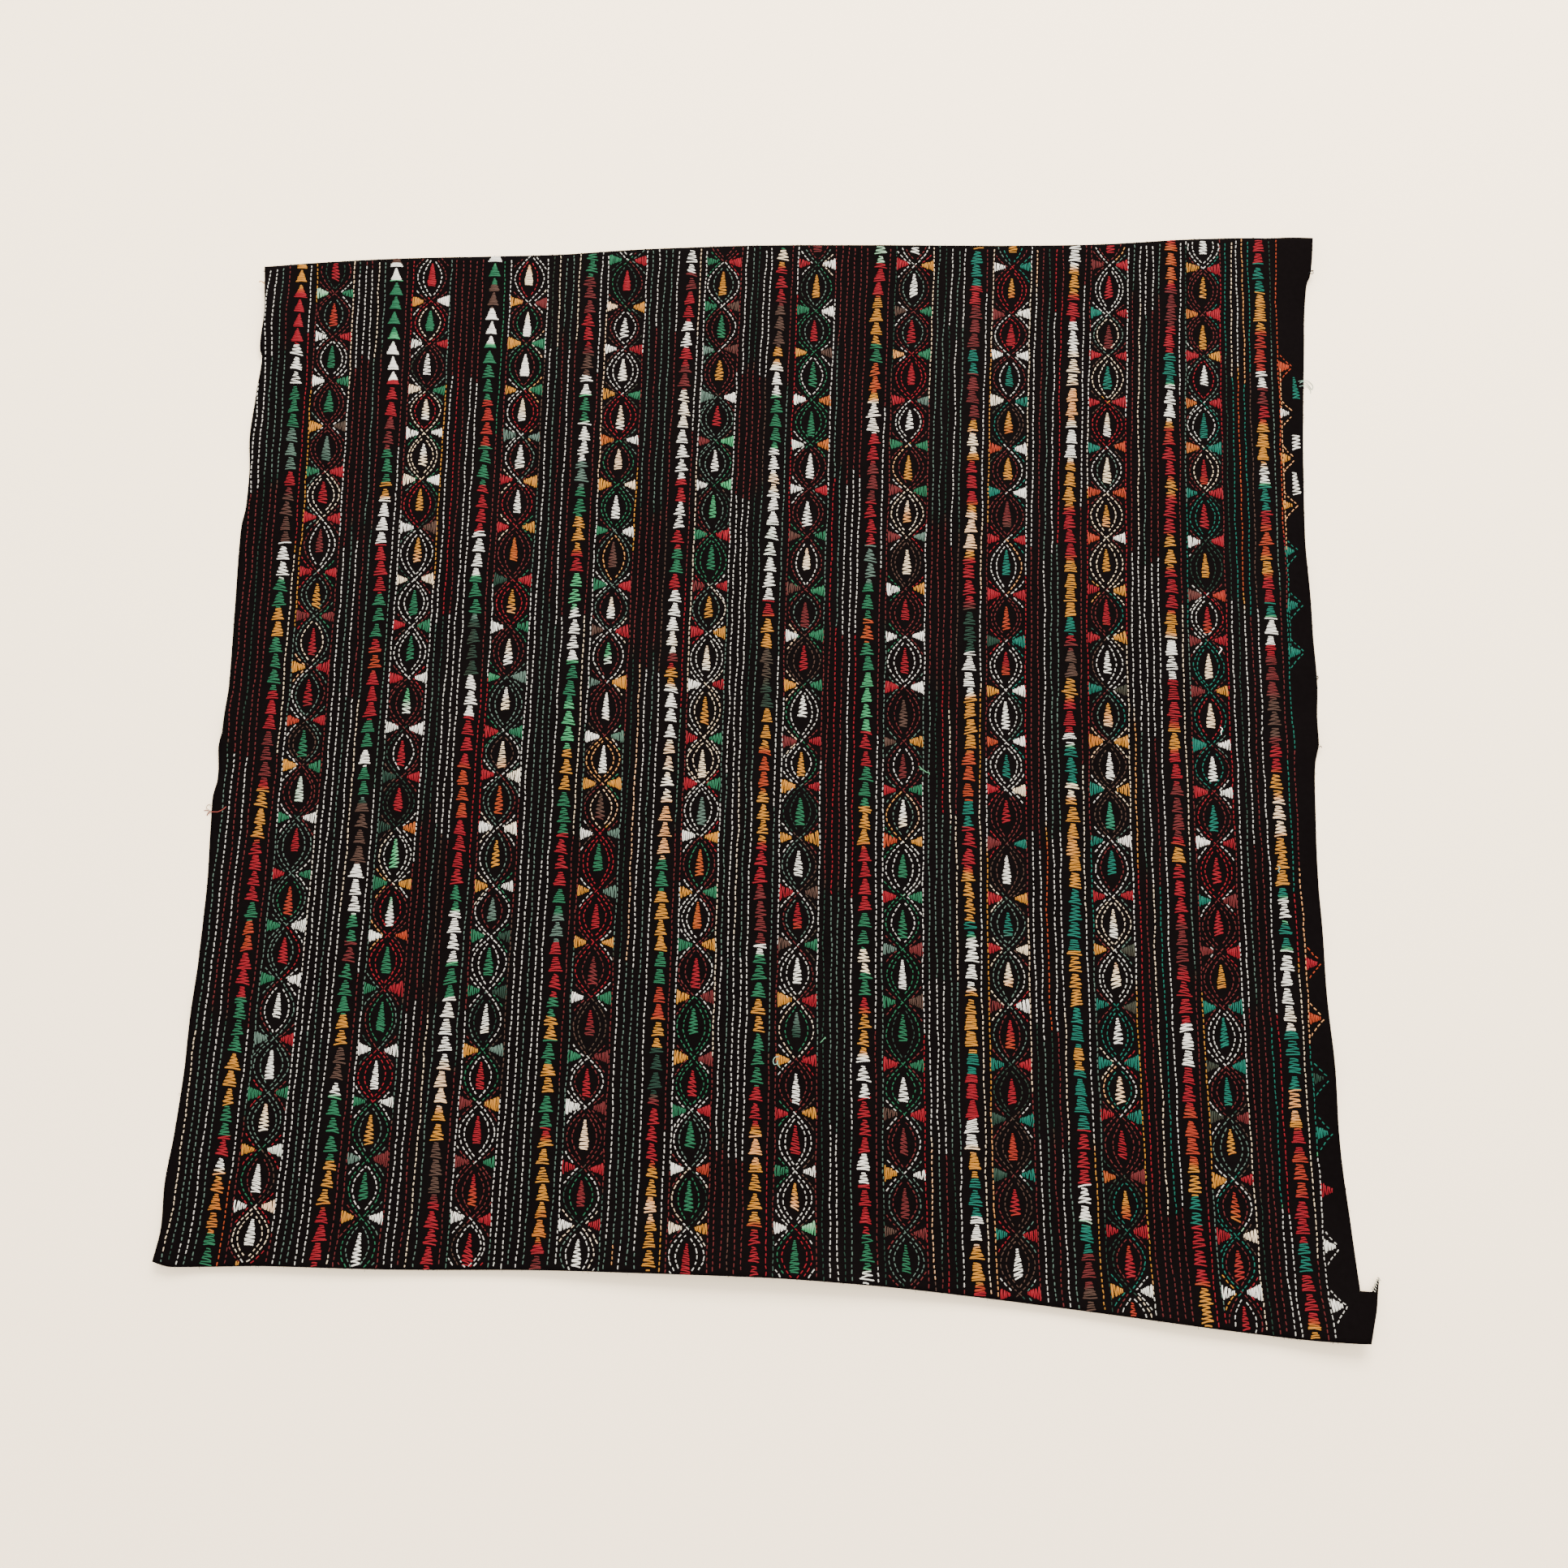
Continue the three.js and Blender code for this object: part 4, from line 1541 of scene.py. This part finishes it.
def stitch_points(name, rows, seed, back):
    """A mesh of one point for each stitch, with its run, normal, width and colour."""
    rng = np.random.default_rng(seed)
    middle = (rows[:, START] + rows[:, END]) / 2
    start, end, centre = (on_face(points) for points in (rows[:, START], rows[:, END], middle))
    normal = face_normal(middle[:, 0], middle[:, 1])
    if back:
        centre = centre - normal * bpy.context.scene.blouse_cloth.thickness
        normal = -normal
    centre = centre + normal * bpy.context.scene.blouse_threads.rise * LIFT_SHARE
    run = (end - start) / 2
    aside = np.cross(normal, run)
    bow = aside / np.linalg.norm(aside, axis=1, keepdims=True) * rows[:, [BOW]] * MM
    mesh = bpy.data.meshes.new(name)
    mesh.vertices.add(len(rows))
    mesh.vertices.foreach_set("co", centre.astype(np.float32).ravel())
    add_field(mesh, "width", rows[:, WIDTH] * MM)
    add_field(mesh, "place", rows[:, PLACE].clip(MAP_MARGIN, 1 - MAP_MARGIN))
    add_field(mesh, "strand", rng.uniform(*STRAND_SPREAD, len(rows)) + LOT_HEIGHT * rows[:, LOT])
    for key, value in (("run", run), ("up", normal), ("bow", bow)):
        add_field(mesh, key, value)
    return mesh


def sewn_piece(name, rows, material, kind, seed, back=False):
    """Runs the stitch tree on rows of stitches and keeps its result as a plain mesh."""
    points = stitch_points(name + "_points", np.concatenate(rows), seed, back)
    piece = new_object(name, points)
    modifier = piece.modifiers.new("Stitches", "NODES")
    modifier.node_group = bpy.data.node_groups.get("Hand stitches") or stitch_tree()
    shoulder, segments = STITCH_SHAPES[kind]
    rise = bpy.context.scene.blouse_threads.rise
    set_inputs(modifier, rise=rise, shoulder=shoulder, segments=segments, short=back, thread=material)
    graph = bpy.context.evaluated_depsgraph_get()
    mesh = bpy.data.meshes.new_from_object(piece.evaluated_get(graph), depsgraph=graph)
    piece.modifiers.remove(modifier)
    piece.data = mesh
    bpy.data.meshes.remove(points)
    mesh.name = name
    for field in HELPER_FIELDS:
        if field in mesh.attributes:
            mesh.attributes.remove(mesh.attributes[field])
    sew_on(piece)


def sew_both_sides(name, book, kind, seed):
    material = thread_material(kind + "_thread")
    sewn_piece(name, book.front, material, kind, seed)
    sewn_piece(name + "_back", book.back, material, "running", seed + BACK_SEED, back=True)


# Operators


class BLOUSEPIECE_OT_cloth(bpy.types.Operator):
    """Lays the black cotton over the part's own folds"""

    bl_idname = "blouse_piece.cloth"
    bl_label = "Cotton cloth"

    def execute(self, context):
        mesh = sheet_mesh("cotton_cloth", panel_rows(context.scene.blouse_cloth.cells))
        mesh.materials.append(cotton_material("black_cotton"))
        piece = sew_on(new_object("cotton_cloth", mesh))
        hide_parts("cloth")
        return {"FINISHED"}


class BLOUSEPIECE_OT_bands(bpy.types.Operator):
    """Sews the bands of running stitch and the borders of the columns"""

    bl_idname = "blouse_piece.bands"
    bl_label = "Bands of running stitch"

    def execute(self, context):
        seed = context.scene.blouse_threads.seed + SEEDS["bands"]
        bands, borders = StitchBook(), StitchBook()
        sew_band_lines(bands, np.random.default_rng(seed))
        sew_side_lines(borders, np.random.default_rng(seed + 1))
        sew_both_sides("band_stitches", bands, "running", seed)
        sew_both_sides("border_stitches", borders, "running", seed + 1)
        return {"FINISHED"}


class BLOUSEPIECE_OT_ovals(bpy.types.Operator):
    """Sews the nested ovals, the frames of the fans and the motifs of the right margin"""

    bl_idname = "blouse_piece.ovals"
    bl_label = "Ovals and fan frames"

    def execute(self, context):
        seed = context.scene.blouse_threads.seed + SEEDS["ovals"]
        rng = np.random.default_rng(seed)
        ovals, frames, margin = StitchBook(), StitchBook(), StitchBook()
        for index in range(LAST_COLUMN):
            rows = crossings(index)
            names = eye_shades(rng, index, len(rows))
            sew_outer_ovals(ovals, rng, index, rows, names)
            sew_inner_ovals(ovals, rng, index, rows, names)
            sew_fan_frames(frames, rng, index, rows)
        sew_margin(frames, margin, rng)
        sew_both_sides("oval_stitches", ovals, "running", seed)
        sew_both_sides("fan_frame_stitches", frames, "running", seed + 1)
        sew_both_sides("margin_satin", margin, "satin", seed + 2)
        return {"FINISHED"}


class BLOUSEPIECE_OT_satin(bpy.types.Operator):
    """Sews the satin triangles, drops and fans"""

    bl_idname = "blouse_piece.satin"
    bl_label = "Satin triangles, drops and fans"

    def execute(self, context):
        seed = context.scene.blouse_threads.seed + SEEDS["satin"]
        triangles, motifs = StitchBook(), StitchBook()
        sew_triangles(triangles, np.random.default_rng(seed))
        sew_drops_and_fans(motifs, np.random.default_rng(seed + 1))
        sew_both_sides("satin_triangles", triangles, "satin", seed)
        sew_both_sides("satin_drops_and_fans", motifs, "satin", seed + 1)
        return {"FINISHED"}


class BLOUSEPIECE_OT_loose_ends(bpy.types.Operator):
    """Adds loose threads, the frayed edge of the tab and the fibres of the cut edges"""

    bl_idname = "blouse_piece.loose_ends"
    bl_label = "Loose and frayed ends"

    def execute(self, context):
        seed = context.scene.blouse_threads.seed + SEEDS["loose ends"]
        rng = np.random.default_rng(seed)
        for shade, steps in LOOSE_SHADES.items():
            name = "loose_threads_" + shade
            mesh = loose_thread_mesh(name, shade)
            mesh.materials.append(plain_thread(name, srgb(*steps)))
            sew_on(new_object(name, mesh))
        black = plain_thread("black_fibre", context.scene.blouse_cloth.colour)
        pale = plain_thread("pale_weft", srgb(*PALE_WEFT))
        sewn_piece("tab_pale_ends", [fray_rows(rng, "pale")], pale, "running", seed)
        fibres = [fray_rows(rng, "black")] + fibre_rows(rng)
        sewn_piece("edge_fibres", fibres, black, "running", seed)
        return {"FINISHED"}


class BLOUSEPIECE_OT_stage(bpy.types.Operator):
    """Sets up the pale floor, the soft light and the camera"""

    bl_idname = "blouse_piece.stage"
    bl_label = "Floor, light and camera"

    def execute(self, context):
        stage = context.scene.blouse_stage
        corners = [(-1, -1), (1, -1), (1, 1), (-1, 1)]
        mesh = bpy.data.meshes.new("floor")
        mesh.from_pydata([(x * FLOOR_HALF, y * FLOOR_HALF, 0) for x, y in corners], [], [(0, 1, 2, 3)])
        mesh.materials.append(floor_material("pale_floor"))
        new_object("floor", mesh)

        lamp = bpy.data.lights.new("window_light", "AREA")
        lamp.shape = "RECTANGLE"
        lamp.size, lamp.size_y = WINDOW_SIZE
        lamp.energy = stage.key_power
        lamp.color = WINDOW_COLOUR
        place_light(new_object("window_light", lamp), azimuth=12, elevation=52, distance=2.6)

        world = bpy.data.worlds.new("soft_room")
        world.use_nodes = True
        background = world.node_tree.nodes["Background"]
        background.inputs["Color"].default_value = ROOM_COLOUR
        background.inputs["Strength"].default_value = stage.fill
        context.scene.world = world

        lens = bpy.data.cameras.new("camera")
        lens.lens, lens.sensor_width = LENS, SENSOR
        lens.clip_start, lens.clip_end = CAMERA_REACH
        camera = new_object("camera", lens)
        camera.location = CAMERA_PLACE
        camera.rotation_euler = (math.radians(CAMERA_TILT), 0, math.radians(CAMERA_ROLL))
        context.scene.camera = camera
        return {"FINISHED"}


def place_light(lamp, azimuth, elevation, distance):
    """Puts a lamp round the middle of the floor, facing it. Azimuth 0 is beyond the top edge."""
    turn, rise = math.radians(azimuth), math.radians(elevation)
    lamp.location = (
        distance * math.cos(rise) * math.sin(turn),
        distance * math.cos(rise) * math.cos(turn),
        distance * math.sin(rise),
    )
    lamp.rotation_euler = (-(math.pi / 2 - rise), 0, -turn)


class BLOUSEPIECE_PT_panel(bpy.types.Panel):
    bl_label = "Kantha blouse piece"
    bl_idname = "BLOUSEPIECE_PT_panel"
    bl_space_type = "VIEW_3D"
    bl_region_type = "UI"
    bl_category = "Blouse piece"

    def draw(self, context):
        for operator in OPERATORS:
            self.layout.operator(operator.bl_idname)
        for name in SETTINGS:
            settings = getattr(context.scene, name)
            box = self.layout.box()
            for key in settings.bl_rna.properties.keys():
                if key not in ("rna_type", "name"):
                    box.prop(settings, key)


OPERATORS = (
    BLOUSEPIECE_OT_stage,
    BLOUSEPIECE_OT_cloth,
    BLOUSEPIECE_OT_bands,
    BLOUSEPIECE_OT_ovals,
    BLOUSEPIECE_OT_satin,
    BLOUSEPIECE_OT_loose_ends,
)
SETTINGS = {
    "blouse_cloth": ClothSettings,
    "blouse_threads": ThreadSettings,
    "blouse_stage": StageSettings,
}


def register():
    for key, settings in SETTINGS.items():
        bpy.utils.register_class(settings)
        setattr(bpy.types.Scene, key, bpy.props.PointerProperty(type=settings))
    for operator in OPERATORS:
        bpy.utils.register_class(operator)
    bpy.utils.register_class(BLOUSEPIECE_PT_panel)


def unregister():
    bpy.utils.unregister_class(BLOUSEPIECE_PT_panel)
    for operator in reversed(OPERATORS):
        bpy.utils.unregister_class(operator)
    for key, settings in SETTINGS.items():
        delattr(bpy.types.Scene, key)
        bpy.utils.unregister_class(settings)


def main():
    register()
    for operator in OPERATORS:
        group, name = operator.bl_idname.split(".")
        getattr(getattr(bpy.ops, group), name)()


if __name__ == "__main__":
    main()
